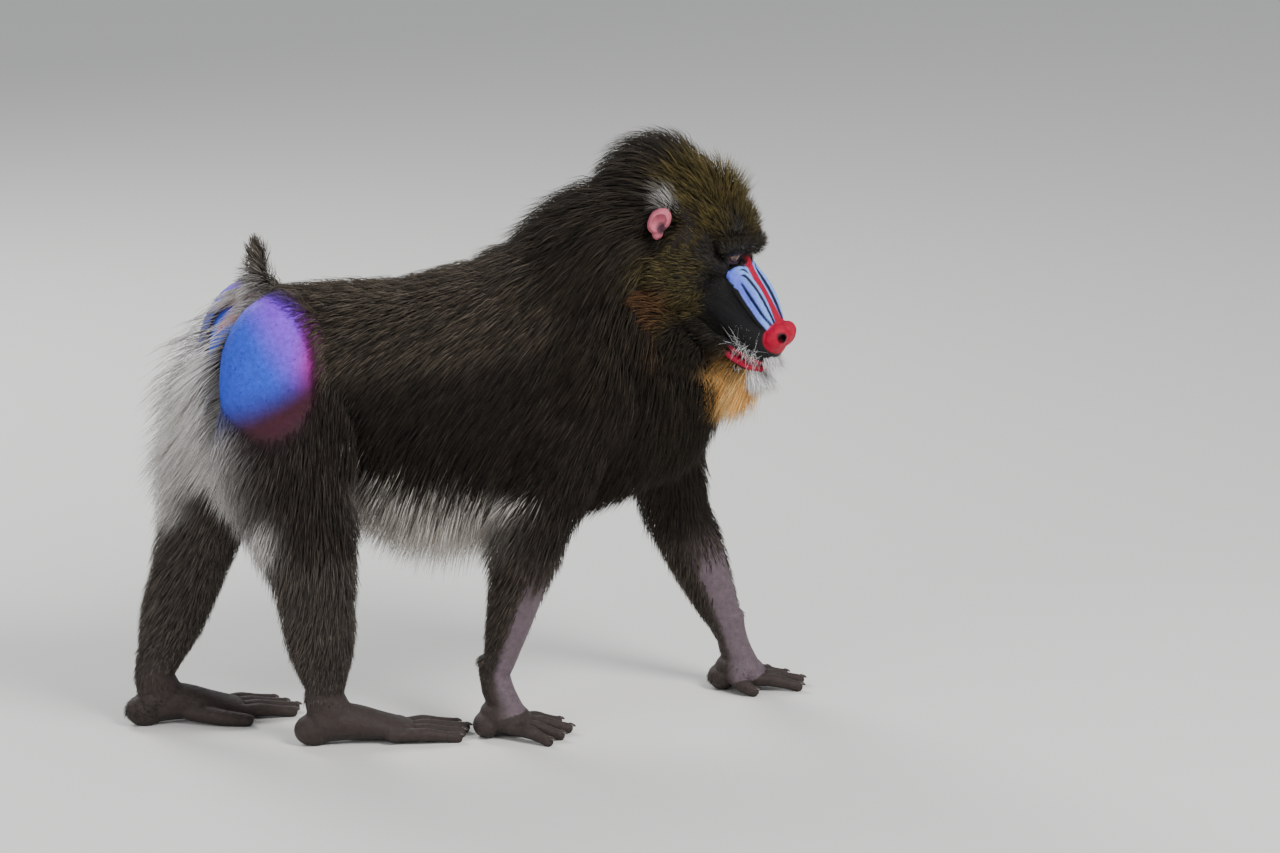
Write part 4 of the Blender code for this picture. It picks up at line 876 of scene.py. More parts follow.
def skin_colours(points, normals):
    """The markings of the skin, for coat roots and bare skin alike."""
    q = in_head(points)
    shown = np.tile(linear(SKIN["under_coat"]), (len(points), 1))
    head = fade(q[:, 0], 0.03, 0.06) * (np.abs(q[:, 1]) < 0.075) * (q[:, 2] < 0.07) \
        * (q[:, 2] > -0.14) * (q[:, 0] < 0.25)
    shown = paint(shown, head, SKIN["muzzle"])
    near_eye = apart(q, (EYE_AT[0] + 0.008, 0, EYE_AT[2]), (0.018, 0.04, 0.017))
    shown = paint(shown, (1 - fade(near_eye, 0.75, 1.05)) * head, SKIN["lid"])
    ridge = ridge_mask(q) * head
    shown = paint(shown, ridge, SKIN["ridge"])
    shown = paint(shown, ridge * fade(np.abs(q[:, 1]), 0.02, 0.034), SKIN["ridge_edge"])
    valleys = rib_gap(q, [(k + 0.5) / (RIBS - 1) for k in range(RIBS - 1)], 0.0018)
    shown = paint(shown, ridge * (1 - fade(valleys, 0.0013, 0.0021)), SKIN["groove"])
    stripe = stripe_mask(q) * head
    shown = paint(shown, stripe, SKIN["red"])
    nostril = apart(np.abs(q), (0.194, 0.019, 0.0485), (0.01, 0.007, 0.0066))
    shown = paint(shown, (1 - fade(nostril, 0.8, 1.2)) * head, SKIN["muzzle"])
    shown = paint(shown, lip_mask(q) * head, SKIN["lip"])
    by_ear = apart(np.abs(q) * (1, 1, 0) + q * (0, 0, 1), (0.004, 0.074, 0.003),
                   (0.024, 0.018, 0.03))
    ear = 1 - fade(by_ear, 0.9, 1.05)
    shown = paint(shown, ear, SKIN["ear"])
    canal = 1 - fade(apart(one_side(q), (0.008, 0.069, -0.002), (0.008, 0.008, 0.009)), 0.7, 1.1)
    shown = paint(shown, canal * 0.8, SKIN["lid"])
    low = 1 - fade(points[:, 2], 0.055, 0.1)
    shown = paint(shown, low, SKIN["hand"])
    shown = paint(shown, low * fade(-normals[:, 2], 0.3, 0.8), SKIN["sole"])
    for side in SIGN:
        share, facing, near = inner_arm(points, side)
        shown = paint(shown, fade(facing, 0.2, 0.6) * near * fade(share, 0.1, 0.3),
                      SKIN["inner_arm"])
    rump = rump_mask(points)
    patch = np.tile(linear(SKIN["rump_blue"]), (len(points), 1))
    for side in SIGN:
        ahead, up, _ = rump_place(points, side)
        here = (points[:, 1] * SIGN[side] > 0).astype(float)
        patch = paint(patch, here * fade(up * 0.55 + ahead * 0.85, -0.05, 0.6),
                      SKIN["rump_violet"])
        patch = paint(patch, here * fade(ahead - np.abs(up) * 0.2, 0.35, 0.85),
                      SKIN["rump_magenta"])
        patch = paint(patch, here * fade(ahead * 0.4 - up * 0.95, 0.12, 0.7),
                      SKIN["rump_maroon"])
    shown += (patch - shown) * rump[:, None]
    below = 1 - fade(under_tail(points, 0.54, 0.026, 0.034), 0.6, 1.0)
    return paint(shown, rump * below * (points[:, 0] < TAIL_SKIN), SKIN["rump_red"])


# Coat

def both_sides(table):
    """A coat table's rows, mirrored where they are off the midline."""
    for x, y, z, ahead, aside, up, *rest in table:
        for sign in ((-1, 1) if y else (1,)):
            yield (x / 1000, sign * y / 1000, z / 1000), (ahead, sign * aside, up), rest


def guides():
    """Every place whose hair is given, mirrored, as rows in the body frame."""
    rows = []

    def add(place, lie, length, rise, width, hair, reach):
        rows.append((place, lie, length / 1000, rise, width / 1000 * FINENESS, hair, reach))

    for place, lie, rest in both_sides(TRUNK_COAT):
        add(place, lie, *rest, BODY_REACH)
    turn = HEAD_FRAME.to_3x3()
    for place, lie, rest in both_sides(HEAD_COAT):
        add(tuple(HEAD_FRAME @ Vector(place)), tuple(turn @ Vector(lie)), *rest,
            HEAD_REACH * TUFT_REACH.get(rest[-1], 1.0))
    for side in SIGN:
        sign = SIGN[side]
        for joints, table, girth in (((HIP, KNEE, ANKLE), LEG_COAT, 0.056),
                                     ((SHOULDER, ELBOW, WRIST), ARM_COAT, 0.044)):
            for part, share, front, back, outer, inner, hair in table:
                first = 0 if part == "upper" else 1
                top, low = joints[first][side], joints[first + 1][side]
                at = np.array(between(top, low, share))
                down = np.array(low) - np.array(top)
                down = down / np.linalg.norm(down)
                slim = girth * (1.0 if part == "upper" else 0.7 - 0.25 * share)
                behind = "rump" if hair == "thigh" and share < 0.75 else hair
                for (length, rise), off, lean, kind in (
                        (front, (slim, 0, 0), (0.0, sign * 0.35, 0.0), hair),
                        (back, (-slim * 1.15, 0, 0), (-0.75, 0, 0.1), behind),
                        (outer, (0, sign * slim * 0.8, 0), (-0.3, 0, 0), hair),
                        (inner, (0, -sign * slim * 0.7, 0), (-0.25, 0, 0), hair)):
                    add(tuple(at + np.array(off)), tuple(down + np.array(lean)), length, rise,
                        2.6 if length > 30 else 2.0, kind, BODY_REACH * 0.8)
        for joint, yaw in ((ANKLE, FOOT_YAW), (WRIST, HAND_YAW)):
            at = joint[side]
            ahead = (math.cos(math.radians(yaw[side])), math.sin(math.radians(yaw[side])), -0.3)
            for step in (0.0, 0.035, 0.07):
                add((at[0] + step, at[1], 0.05 - step * 0.3), ahead, 9, 16, 1.3, "hand",
                    BODY_REACH * 0.6)
    add((-0.265, 0, 0.59), (0, 0, 1.0), 18, 20, 1.6, "tail", 0.012)
    add((-0.268, 0, 0.625), (0, 0, 1.0), 18, 28, 1.6, "tail", 0.012)
    return rows


def coat_fields(points, normals, draw):
    """The lie, length, rise, width, hair colours and kind at each point."""
    rows = guides()
    places = np.array([r[0] for r in rows])
    lies = np.array([Vector(r[1]).normalized()[:] for r in rows])
    sizes = np.array([(r[2], r[3], r[4]) for r in rows])
    reach = np.array([r[6] for r in rows])
    dark = np.array([linear(HAIR[r[5]][0]) for r in rows])
    light = np.array([linear(HAIR[r[5]][1]) for r in rows])
    out = {key: [] for key in ("lie", "size", "dark", "light", "kind")}
    q = in_head(points)
    inside = fade(q[:, 0], 0.025, 0.055) * (np.abs(q[:, 1]) < 0.08) * (q[:, 2] > -0.14) \
        * (q[:, 2] < 0.1)
    for start in range(0, len(points), BATCH):
        part = points[start:start + BATCH]
        gaps = ((part[:, None, :] - places[None]) ** 2).sum(2)
        power = -gaps / (2 * reach[None] ** 2)
        power -= BARRIER * inside[start:start + BATCH, None] * (reach[None] > HEAD_REACH)
        power -= power.max(1)[:, None]
        weight = np.exp(power)
        out["kind"].append(weight.argmax(1))
        weight /= weight.sum(1)[:, None]
        out["lie"].append(weight @ lies)
        out["size"].append(weight @ sizes)
        sharper = weight ** 2
        sharper /= sharper.sum(1)[:, None]
        out["dark"].append(sharper @ dark)
        out["light"].append(sharper @ light)
    fields = {key: np.concatenate(value) for key, value in out.items()}
    lie = fields["lie"] - normals * (fields["lie"] * normals).sum(1)[:, None]
    fields["lie"] = lie / np.maximum(np.linalg.norm(lie, axis=1), 1e-6)[:, None]
    fields["kind"] = np.array([rows[k][5] for k in fields["kind"]])
    by_ear = np.sqrt(((q[:, 0] - 0.018) / 0.038) ** 2 + ((q[:, 2] - 0.002) / 0.034) ** 2)
    clear = (1 - fade(by_ear, 0.7, 1.1)) * (np.abs(q[:, 1]) > 0.035) * (np.abs(q[:, 1]) < 0.09)
    clear *= fields["kind"] != "white"
    fields["size"][:, 0] *= 1 - 0.68 * clear
    edge = np.interp(points[:, 0], *BELLY_EDGE)
    ragged = points[:, 2] + draw.normal(scale=0.012, size=len(points))
    pale = fade(edge - ragged, -0.01, 0.016) * (np.abs(points[:, 0] + 0.045) < 0.155)
    dark_flank = (1 - pale) * (points[:, 2] < 0.4)
    for mask, hair in ((pale, "belly"), (dark_flank, "flank")):
        mask = (mask * np.isin(fields["kind"], ("flank", "belly")))[:, None]
        for key, code in zip(("dark", "light"), HAIR[hair]):
            fields[key] += (linear(code) - fields[key]) * mask
    patch = rump_mask(points)[:, None]
    tint = skin_colours(points, normals)
    for key, value in (("size", np.array(PATCH_HAIR)), ("dark", tint * 0.6),
                       ("light", tint * 1.35)):
        fields[key] += (value - fields[key]) * patch
    fields["kind"][patch[:, 0] > 0.5] = "patch"
    return fields


def bare_mask(points, normals):
    """1 where the skin is bare: face, ears, palms, toes and rump patches."""
    q = in_head(points)
    on_head = (np.abs(q[:, 1]) < 0.09) & (q[:, 2] < 0.09) & (q[:, 2] > -0.15) & (q[:, 0] > -0.06)
    beside = one_side(q)
    eye = 1 - fade(apart(beside, (0.096, 0.024, 0.003), (0.016, 0.017, 0.012)), 0.9, 1.1)
    ear = 1 - fade(apart(beside, (0.002, 0.072, 0.002), (0.02, 0.015, 0.027)), 0.9, 1.1)
    front = fade(q[:, 0], 0.176, 0.182) * (1 - fade(q[:, 2], -0.07, -0.064)) \
        * fade(q[:, 2], -0.114, -0.108)
    bare = np.maximum.reduce([ridge_mask(q), stripe_mask(q), lip_mask(q), front, eye, ear])
    bare = bare * on_head
    bare = np.maximum(bare, tail_mask(points))
    sole = (1 - fade(points[:, 2], 0.03, 0.045)) * fade(-normals[:, 2], -0.1, 0.3)
    toes = np.zeros(len(points))
    for joint, reach in ((ANKLE, 0.118), (WRIST, 0.05)):
        for side in SIGN:
            at = joint[side]
            far = np.linalg.norm(points[:, :2] - np.array(at[:2])[None], axis=1)
            toes = np.maximum(toes, fade(far, reach * 0.8, reach) * (points[:, 2] < 0.06)
                              * (far < 0.3) * (np.abs(points[:, 1] - at[1]) < 0.09))
    strip = np.zeros(len(points))
    for side in SIGN:
        share, facing, near = inner_arm(points, side)
        strip = np.maximum(strip, fade(facing, 0.45, 0.8) * near * fade(share, 0.15, 0.45))
    return np.clip(np.maximum.reduce([bare, sole, toes, strip]), 0, 1)


def read(items, field, size, kind=float):
    """One field of every item of a mesh, as rows of numbers."""
    rows = np.empty(len(items) * size, kind)
    items.foreach_get(field, rows)
    return rows.reshape(-1, size)


def triangles_of(obj):
    """Corner points, normals and unwrap places of every triangle of a mesh."""
    mesh = obj.data
    mesh.calc_loop_triangles()
    corner = read(mesh.loop_triangles, "vertices", 3, np.int64)
    loops = read(mesh.loop_triangles, "loops", 3, np.int64)
    return (read(mesh.vertices, "co", 3)[corner], read(mesh.vertices, "normal", 3)[corner],
            read(mesh.uv_layers.active.data, "uv", 2)[loops])


def sow(skin, draw):
    """Roots of the coat: points spread over the furred skin, as dense as the hair is fine."""
    points, normals, flat = triangles_of(skin)
    middle = points.mean(1)
    facing = unit(normals.mean(1))
    area = np.linalg.norm(np.cross(points[:, 1] - points[:, 0], points[:, 2] - points[:, 0]),
                          axis=1) / 2
    fields = coat_fields(middle, facing, draw)
    width = fields["size"][:, 2]
    wanted = area / (width * TUFT_SPACING) ** 2 * (1 - bare_mask(middle, facing))
    count = np.floor(wanted + draw.random(len(wanted))).astype(int)
    chosen = np.repeat(np.arange(len(count)), count)
    a, b = draw.random((2, len(chosen)))
    over = a + b > 1
    a[over], b[over] = 1 - a[over], 1 - b[over]
    share = np.stack([1 - a - b, a, b], 1)[:, :, None]
    roots = (points[chosen] * share).sum(1)
    ups = unit((normals[chosen] * share).sum(1))
    places = (flat[chosen] * share).sum(1)
    return roots, ups, places


def tuft_mesh(name, path, across, widths, colours, places):
    """Closed three-sided tufts: path is tufts x (rings + tip) x 3, widths tufts x rings."""
    tufts, steps = path.shape[0], path.shape[1]
    rings = steps - 1
    verts = np.empty((tufts, rings * 3 + 1, 3))
    tint = np.empty((tufts, rings * 3 + 1, 4))
    tint[..., 3] = 1.0
    for k in range(rings):
        ahead = unit(path[:, k + 1] - path[:, max(0, k - 1)])
        side = unit(across - ahead * (across * ahead).sum(1)[:, None])
        up = np.cross(side, ahead)
        wide = widths[:, k, None] / 2
        verts[:, 3 * k] = path[:, k] - side * wide - up * wide * 0.28
        verts[:, 3 * k + 1] = path[:, k] + side * wide - up * wide * 0.28
        verts[:, 3 * k + 2] = path[:, k] + up * wide * 0.5
        tint[:, 3 * k:3 * k + 3, :3] = colours[:, k, None]
    verts[:, -1] = path[:, -1]
    tint[:, -1, :3] = colours[:, -1]
    quads = np.array([(3 * k + i, 3 * k + 3 + i, 3 * k + 3 + (i + 1) % 3, 3 * k + (i + 1) % 3)
                      for k in range(rings - 1) for i in range(3)])
    last = 3 * (rings - 1)
    ends = np.array([(0, 1, 2)] + [(last + i, last + 3, last + (i + 1) % 3) for i in range(3)])
    quads, ends = quads[:, ::-1], ends[:, ::-1]
    ends[0] = ends[0][::-1]
    per = rings * 3 + 1
    shift = (np.arange(tufts) * per)[:, None, None]
    loops = np.concatenate([(quads[None] + shift).reshape(tufts, -1),
                            (ends[None] + shift).reshape(tufts, -1)], axis=1)
    sizes = np.tile(np.array([4] * len(quads) + [3] * len(ends)), tufts)
    mesh = bpy.data.meshes.new(name)
    mesh.vertices.add(tufts * per)
    mesh.vertices.foreach_set("co", verts.reshape(-1))
    mesh.loops.add(loops.size)
    mesh.loops.foreach_set("vertex_index", loops.reshape(-1))
    mesh.polygons.add(len(sizes))
    mesh.polygons.foreach_set("loop_start", np.concatenate([[0], np.cumsum(sizes)[:-1]]))
    mesh.polygons.foreach_set("loop_total", sizes)
    mesh.polygons.foreach_set("use_smooth", np.ones(len(sizes), bool))
    mesh.update(calc_edges=True)
    hair = mesh.color_attributes.new("hair", "FLOAT_COLOR", "POINT")
    hair.data.foreach_set("color", tint.reshape(-1))
    local = np.empty((per, 2))
    for k in range(per):
        local[k] = (min(k // 3, rings) / rings, (k % 3) / 2 if k < per - 1 else 0.5)
    patch = places[:, None, :] + (local[None] - 0.5) * PATCH
    corner = patch.reshape(-1, 2)[loops.reshape(-1)]
    mesh.uv_layers.new(name="OFBake").data.foreach_set("uv", np.clip(corner, 0, 1).reshape(-1))
    return linked(name, mesh)


def grow(roots, ups, fields, draw, rings):
    """The path, width and colours of every tuft, with so many cross-sections before its tip, and
    painted shade that darkens each tuft towards its root.
    """
    count = len(roots)
    length = fields["size"][:, 0] * draw.uniform(0.78, 1.12, count)
    rise = np.radians(fields["size"][:, 1] * draw.uniform(0.7, 1.3, count))
    width = fields["size"][:, 2] * draw.uniform(0.75, 1.2, count)
    stray = unit(draw.normal(size=(count, 3)))
    loose = np.isin(fields["kind"], ("crown", "cheek", "brow"))
    lie = unit(fields["lie"] + stray * np.where(loose, *STRAYS)[:, None])
    path = np.empty((count, rings + 1, 3))
    path[:, 0] = roots - ups * ROOT_DEPTH
    here = path[:, 0].copy()
    for k in range(rings):
        share = (k + 0.5) / rings
        angle = rise * (1 + (0.55 - 1.5 * share) * (1 - fade(rise, 0.7, 1.0)))
        ahead = lie * np.cos(angle)[:, None] + ups * np.sin(angle)[:, None]
        ahead[:, 2] -= np.clip(length / 0.08, 0, 1.2) * 0.55 * share
        here = here + unit(ahead) * (length / rings)[:, None]
        path[:, k + 1] = here
    centres = draw.choice(count, max(1, count // CLUMP), replace=False)
    search = KDTree(len(centres))
    for i, k in enumerate(centres):
        search.insert(roots[k], i)
    search.balance()
    nearest = centres[[search.find(tuple(p))[1] for p in roots]]
    pull = draw.uniform(0.05, 0.4, count)
    for k in range(1, rings + 1):
        away = path[nearest, k] - path[:, k]
        path[:, k] += away * (pull * (k / rings) ** 1.5)[:, None]
    path[:, 1:, 2] = np.maximum(path[:, 1:, 2], width[:, None])
    across = unit(np.cross(lie, ups) + stray * 0.35)
    profile = {2: (0.8, 0.9), 3: (0.75, 1.0, 0.7)}[rings]
    widths = width[:, None] * np.array(profile)[None]
    shade = draw.beta(1.2, 2.2, count)[:, None]
    clump_shade = draw.uniform(0.86, 1.1, len(roots))[nearest][:, None]
    base = (fields["dark"] * (1 - shade) + fields["light"] * shade) * clump_shade
    bright = fields["dark"] * 0.45 + fields["light"] * 0.7
    band = (draw.random(count) < BANDED)[:, None]
    tip = np.where(band, bright, base * 0.9)
    # Painted shade: the root ring gets 0.35 of the tuft's colour and the next ring 0.85, so every tuft
    # darkens towards the skin
    steps = [base * 0.35] + [base * 0.85] * (rings - 1)
    if rings == 3:
        steps[2] = base
    colours = np.stack(steps + [tip], 1)
    return path, across, widths, np.clip(colours, 0, 1)


def make_coat(skin):
    """All the fur, as pieces of solid tufts."""
    draw = np.random.default_rng(SEED)
    roots, ups, places = sow(skin, draw)
    fields = coat_fields(roots, ups, draw)
    owner = np.array([PIECE_OF[k] for k in fields["kind"]])
    long = np.isin(fields["kind"], LONG_HAIR)
    made = []
    for name in sorted(set(PIECE_OF.values())):
        for rings in (2, 3):
            rows = np.flatnonzero((owner == name) & (long == (rings == 3)))
            if not len(rows):
                continue
            part = {key: value[rows] for key, value in fields.items()}
            path, across, widths, colours = grow(roots[rows], ups[rows], part, draw, rings)
            each = 4 + 6 * (rings - 1)
            parts = math.ceil(len(rows) * each / MOST_TRIANGLES)
            order = np.argsort(roots[rows, 1], kind="stable")
            for k, some in enumerate(np.array_split(order, parts)):
                label = name if rings == 2 else name + "_long"
                if parts > 1:
                    label = f"{label}_{k + 1}"
                made.append(tuft_mesh(label, path[some], across[some], widths[some],
                                      colours[some], places[rows][some]))
    return made


# Eyes, nails and whiskers

def eye(side):
    """An eyeball whose rings of colour lie round its line of sight."""
    sign = SIGN[side]
    bpy.ops.mesh.primitive_uv_sphere_add(segments=48, ring_count=48, radius=EYE_RADIUS)
    obj = bpy.context.object
    obj.name = "eyeball_" + side
    aim = Matrix.Rotation(math.radians(90), 4, "Y")
    glance = Matrix.Rotation(math.radians(GLANCE), 4, "Z")
    tint = obj.data.color_attributes.new("iris", "FLOAT_COLOR", "POINT")
    for v in obj.data.vertices:
        angle = math.degrees(math.acos(max(-1.0, min(1.0, v.co.z / EYE_RADIUS))))
        ring = next(code for reach, code in EYE_RINGS if angle < reach)
        tint.data[v.index].color = (*linear(ring), 1.0)
        if angle < CORNEA:
            v.co *= 1.0 + 0.06 * (1 - (angle / CORNEA) ** 2)
    bpy.ops.object.shade_smooth()
    place = Matrix.Translation((EYE_AT[0], sign * EYE_AT[1], EYE_AT[2]))
    obj.data.transform(HEAD_FRAME @ place @ glance @ aim)
    return obj


def nail(place, ahead, size):
    """A small curved nail lying on a digit's tip."""
    bpy.ops.mesh.primitive_uv_sphere_add(segments=16, ring_count=10, radius=1.0)
    obj = bpy.context.object
    for v in obj.data.vertices:
        v.co.z = v.co.z * 0.32 - 0.28 * v.co.y ** 2 - 0.1 * max(0.0, v.co.x) ** 2
    turn = Matrix.Rotation(math.atan2(ahead[1], ahead[0]), 4, "Z") \
        @ Matrix.Rotation(math.radians(24), 4, "Y")
    obj.data.transform(Matrix.Translation(place) @ turn @ Matrix.Diagonal((*size, 1)))
    return obj


def nails():
    """Nails on all twenty digits, as one object."""
    made = []
    for side in SIGN:
        for limb, line, big in (("foot", toe_line, ((0.112, 0.04, 0.013), (0.142, 0.05, 0.009))),
                                ("hand", finger_line, ((0.006, 0.036, 0.014), (0.016, 0.044, 0.0085)))):
            place = standing_frame(limb, side)
            digits = [(line(k)[1], line(k)[2]) for k in range(4)] + [big]
            for mid, tip in digits:
                ahead = Vector(tip) - Vector(mid)
                ahead.z = 0
                ahead.normalize()
                spot = Vector(tip) + ahead * 0.005 + Vector((0, 0, 0.005))
                end = place @ spot
                way = place.to_3x3() @ ahead
                made.append(nail(tuple(end), tuple(way), NAIL_SIZE))
    obj = join("nails", made)
    bpy.ops.object.shade_smooth()
    return obj


def strands(name, skin, draw, pair):
    """Tapered strands rooted on the skin where the table puts them, as one piece."""
    roots, aims, lengths, widths = [], [], [], []
    turn = HEAD_FRAME.to_3x3()
    for count, ahead, out, up, aim, stray, length, width in STRANDS[name]:
        for k in range(count):
            sign = 1 if k % 2 else -1
            share = draw.random()
            near = (ahead[0] + (ahead[1] - ahead[0]) * share,
                    sign * (out[0] + (out[1] - out[0]) * draw.random()),
                    draw.uniform(*up))
            _, root, out_here, _ = skin.closest_point_on_mesh(HEAD_FRAME @ Vector(near))
            roots.append(root)
            aims.append(turn @ Vector((aim[0], sign * aim[1], aim[2]))
                        + Vector(draw.normal(scale=stray, size=3)) + out_here * 0.2)
            lengths.append(draw.uniform(*length) / 1000)
            widths.append(width / 1000)
    roots, aims, lengths = np.array(roots), unit(np.array(aims)), np.array(lengths)
    path = np.empty((len(roots), 4, 3))
    path[:, 0] = roots - aims * 0.002
    for k in range(3):
        aims = unit(aims + np.array((0, 0, -0.1)))
        path[:, k + 1] = path[:, k] + aims * lengths[:, None] / 3
    across = unit(np.cross(aims, np.array((0, 0, 1.0))) + draw.normal(scale=0.3, size=roots.shape))
    wide = np.array(widths)[:, None] * np.array((1.0, 0.9, 0.6))[None]
    mix = draw.random(len(roots))[:, None]
    tint = linear(pair[0])[None] * (1 - mix) + linear(pair[1])[None] * mix
    # Painted shade: each strand gets 0.6 of its colour at the root and 0.9 next, darker towards the
    # skin
    colours = np.stack([tint * 0.6, tint * 0.9, tint, tint], 1)
    return tuft_mesh(name, path, across, wide, colours, np.full((len(roots), 2), 0.5))


# Materials

def add_node(tree, kind, settings=None, **inputs):
    """Adds a node, sets its properties, and sets or links its inputs."""
    node = tree.nodes.new(kind)
    for key, value in (settings or {}).items():
        setattr(node, key, value)
    for key, value in inputs.items():
        socket = node.inputs[key.replace("_", " ")]
        if isinstance(value, bpy.types.NodeSocket):
            tree.links.new(value, socket)
        else:
            socket.default_value = value
    return node


def new_material(name, **inputs):
    """A material, its nodes and its shader with some inputs set."""
    made = bpy.data.materials.new(name)
    made.use_nodes = True
    tree = made.node_tree
    shader = next(n for n in tree.nodes if n.type == "BSDF_PRINCIPLED")
    for key, value in inputs.items():
        shader.inputs[key.replace("_", " ")].default_value = value
    return made, tree, shader


def grain(tree, kind, scale, **inputs):
    """A texture laid over the object's own metres."""
    place = add_node(tree, "ShaderNodeTexCoord")
    return add_node(tree, kind, Vector=place.outputs["Object"], Scale=scale, **inputs)


def mottle(tree, shader, attribute, value, low, high, dark, light):
    """Colours a shader by a painted attribute, darker and lighter along a grain's value."""
    tint = add_node(tree, "ShaderNodeAttribute", {"attribute_name": attribute})
    lift = add_node(tree, "ShaderNodeMapRange", Value=value, From_Min=low, From_Max=high,
                    To_Min=dark, To_Max=light)
    shade = add_node(tree, "ShaderNodeVectorMath", {"operation": "SCALE"},
                     Vector=tint.outputs["Color"], Scale=lift.outputs["Result"])
    tree.links.new(shade.outputs["Vector"], shader.inputs["Base Color"])


def emboss(tree, shader, height, strength, distance):
    """Raises a shader's surface by a height."""
    bump = add_node(tree, "ShaderNodeBump", Height=height, Strength=strength, Distance=distance)
    tree.links.new(bump.outputs["Normal"], shader.inputs["Normal"])


def hair_material(name, roughness, gloss):
    """Guard hair: each tuft carries its own colour with painted shade at its root, broken up by a fine
    grain.
    """
    made, tree, shader = new_material(name, Roughness=roughness, Specular_IOR_Level=gloss)
    speck = grain(tree, "ShaderNodeTexNoise", 900.0, Detail=2.0).outputs["Fac"]
    mottle(tree, shader, "hair", speck, 0.3, 0.7, 0.72, 1.28)
    emboss(tree, shader, speck, 0.25, 0.0006)
    return made


def skin_material():
    """Bare skin: painted markings, creases about a millimetre apart and a low gloss."""
    made, tree, shader = new_material("bare_skin", Subsurface_Weight=0.04,
                                      Specular_IOR_Level=0.22, Subsurface_Scale=0.004)
    pores = grain(tree, "ShaderNodeTexVoronoi", 750.0).outputs["Distance"]
    folds = grain(tree, "ShaderNodeTexNoise", 160.0, Detail=6.0, Roughness=0.6).outputs["Fac"]
    mottle(tree, shader, "marking", folds, 0.25, 0.75, 0.72, 1.25)
    height = add_node(tree, "ShaderNodeMath", {"operation": "MULTIPLY_ADD"})
    tree.links.new(pores, height.inputs[0])
    height.inputs[1].default_value = 0.4
    tree.links.new(folds, height.inputs[2])
    emboss(tree, shader, height.outputs["Value"], 0.75, 0.0014)
    gloss = add_node(tree, "ShaderNodeMapRange", Value=pores, From_Min=0.0, From_Max=0.8,
                     To_Min=0.42, To_Max=0.62)
    tree.links.new(gloss.outputs["Result"], shader.inputs["Roughness"])
    return made


def eye_material():
    """Wet cornea over the iris: very low roughness and the eye's own IOR."""
    made, tree, shader = new_material("wet_eye", Roughness=0.06, IOR=1.376, Coat_Weight=1.0,
                                      Coat_Roughness=0.03)
    tint = add_node(tree, "ShaderNodeAttribute", {"attribute_name": "iris"})
    tree.links.new(tint.outputs["Color"], shader.inputs["Base Color"])
    return made


def nail_material():
    """Keratin nail: dark horn with faint streaks and a worn gloss."""
    made, tree, shader = new_material("horn_nail", Roughness=0.38)
    streak = grain(tree, "ShaderNodeTexNoise", 500.0, Detail=3.0)
    ramp = add_node(tree, "ShaderNodeMix", {"data_type": "RGBA"}, Factor=streak.outputs["Fac"])
    ramp.inputs[6].default_value = (*linear("#15100e"), 1.0)
    ramp.inputs[7].default_value = (*linear("#4a3d36"), 1.0)
    tree.links.new(ramp.outputs[2], shader.inputs["Base Color"])
    return made


def floor_material():
    """Plain pale paper."""
    made, tree, shader = new_material("matt_paper", Base_Color=(*linear("#dcdad6"), 1.0),
                                      Roughness=0.9)
    emboss(tree, shader, grain(tree, "ShaderNodeTexNoise", 300.0).outputs["Fac"], 0.05, 0.001)
    return made


# Stage

def area_light(name, place, size, power):
    """A round soft light turned to the middle of the animal."""
    bpy.ops.object.light_add(type="AREA", location=place)
    lamp = bpy.context.object
    lamp.name = name
    lamp.data.shape = "DISK"
    lamp.data.size = size
    lamp.data.energy = power
    lamp.rotation_euler = (Vector(LIT_POINT) - Vector(place)).to_track_quat("-Z", "Y").to_euler()
    return lamp


def make_stage(move):
    """The floor, sky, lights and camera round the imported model."""
    bpy.ops.mesh.primitive_plane_add(size=FLOOR_SIDE)
    floor = bpy.context.object
    floor.name = "floor"
    floor.data.materials.append(floor_material())
    world = bpy.data.worlds.new("studio")
    world.use_nodes = True
    back = next(n for n in world.node_tree.nodes if n.type == "BACKGROUND")
    back.inputs["Color"].default_value = (*linear("#dfe3e8"), 1.0)
    back.inputs["Strength"].default_value = SKY_POWER
    bpy.context.scene.world = world
    for row in LIGHTS:
        area_light(*row)
    target = Vector(CAMERA_TARGET) + move
    a, e = math.radians(CAMERA_AZIMUTH), math.radians(CAMERA_ELEVATION)
    back = Vector((math.sin(a) * math.cos(e), -math.cos(a) * math.cos(e), math.sin(e)))
    bpy.ops.object.camera_add(location=target + back * CAMERA_DISTANCE)
    camera = bpy.context.object
    camera.name = "camera"
    camera.rotation_euler = (-back).to_track_quat("-Z", "Y").to_euler()
    camera.data.lens = CAMERA_LENS
    camera.data.sensor_width = 36.0
    camera.data.clip_end = 50.0
    bpy.context.scene.camera = camera


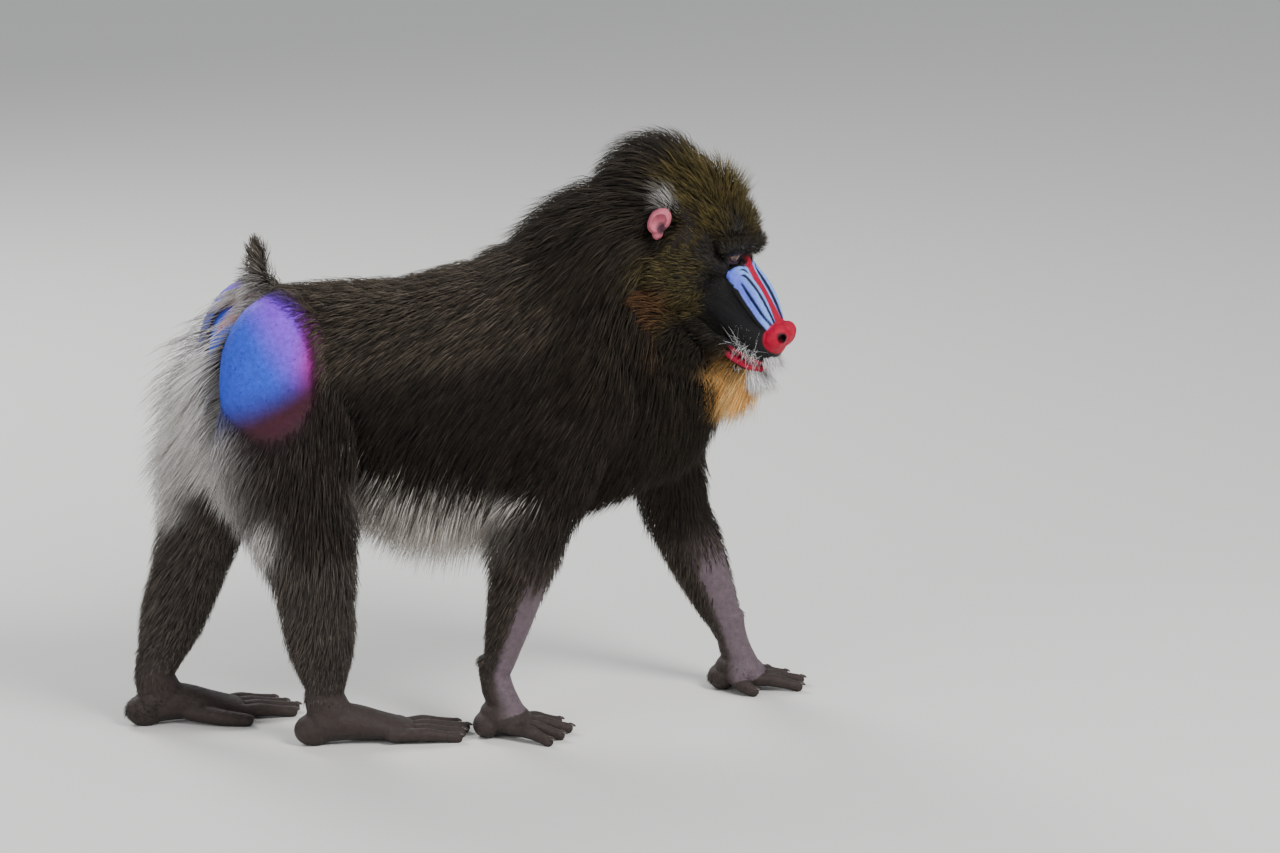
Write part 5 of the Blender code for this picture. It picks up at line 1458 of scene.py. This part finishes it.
def colour_skin(skin):
    """Paints the markings on the skin's points."""
    points = skin.data.vertices
    shown = skin_colours(read(points, "co", 3), read(points, "normal", 3))
    tint = skin.data.color_attributes.new("marking", "FLOAT_COLOR", "POINT")
    rows = np.concatenate([np.clip(shown, 0, 1), np.ones((len(shown), 1))], axis=1)
    tint.data.foreach_set("color", rows.reshape(-1))


def unwrap(obj):
    """Lays the skin out flat by its own shape."""
    obj.data.uv_layers.new(name="skin_unwrap")
    pick(obj)
    bpy.ops.object.mode_set(mode="EDIT")
    bpy.ops.mesh.select_all(action="SELECT")
    bpy.ops.uv.smart_project(angle_limit=math.radians(66), island_margin=0.0005)
    bpy.ops.object.mode_set(mode="OBJECT")


def body_move():
    """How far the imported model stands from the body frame."""
    low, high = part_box("eye_right")
    middle = (Vector(low) + Vector(high)) / 2
    return middle - HEAD_FRAME @ Vector((EYE_AT[0], -EYE_AT[1], EYE_AT[2]))


def main():
    move = body_move()
    skin = make_skin()
    pick(skin)
    bpy.ops.object.shade_smooth()
    unwrap(skin)
    colour_skin(skin)
    coat = make_coat(skin)
    eyes = [eye("right"), eye("left")]
    claws = nails()
    draw = np.random.default_rng(SEED + 1)
    bristles = [strands("whiskers", skin, draw, HAIR["white"]),
                strands("goatee", skin, draw, HAIR["white"]),
                strands("beard_tips", skin, draw, HAIR["beard"])]
    skin.data.materials.clear()
    skin.data.materials.append(skin_material())
    guard = hair_material("guard_hair", 0.66, 0.2)
    beard = hair_material("beard_hair", 0.6, 0.3)
    wet = eye_material()
    for piece in coat:
        piece.data.materials.append(beard if "beard" in piece.name else guard)
    for piece in bristles:
        piece.data.materials.append(beard)
    for piece in eyes:
        piece.data.materials.append(wet)
    claws.data.materials.append(nail_material())
    made = [skin, *coat, *eyes, claws, *bristles]
    for piece in made:
        piece.data.transform(Matrix.Translation(move))
        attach(piece, "root")
    nodes = [n for n in frame["nodes"] if not n.startswith("eye")]
    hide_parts(*nodes)
    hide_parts("eye_right")
    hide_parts("eye_left")
    make_stage(move)


main()
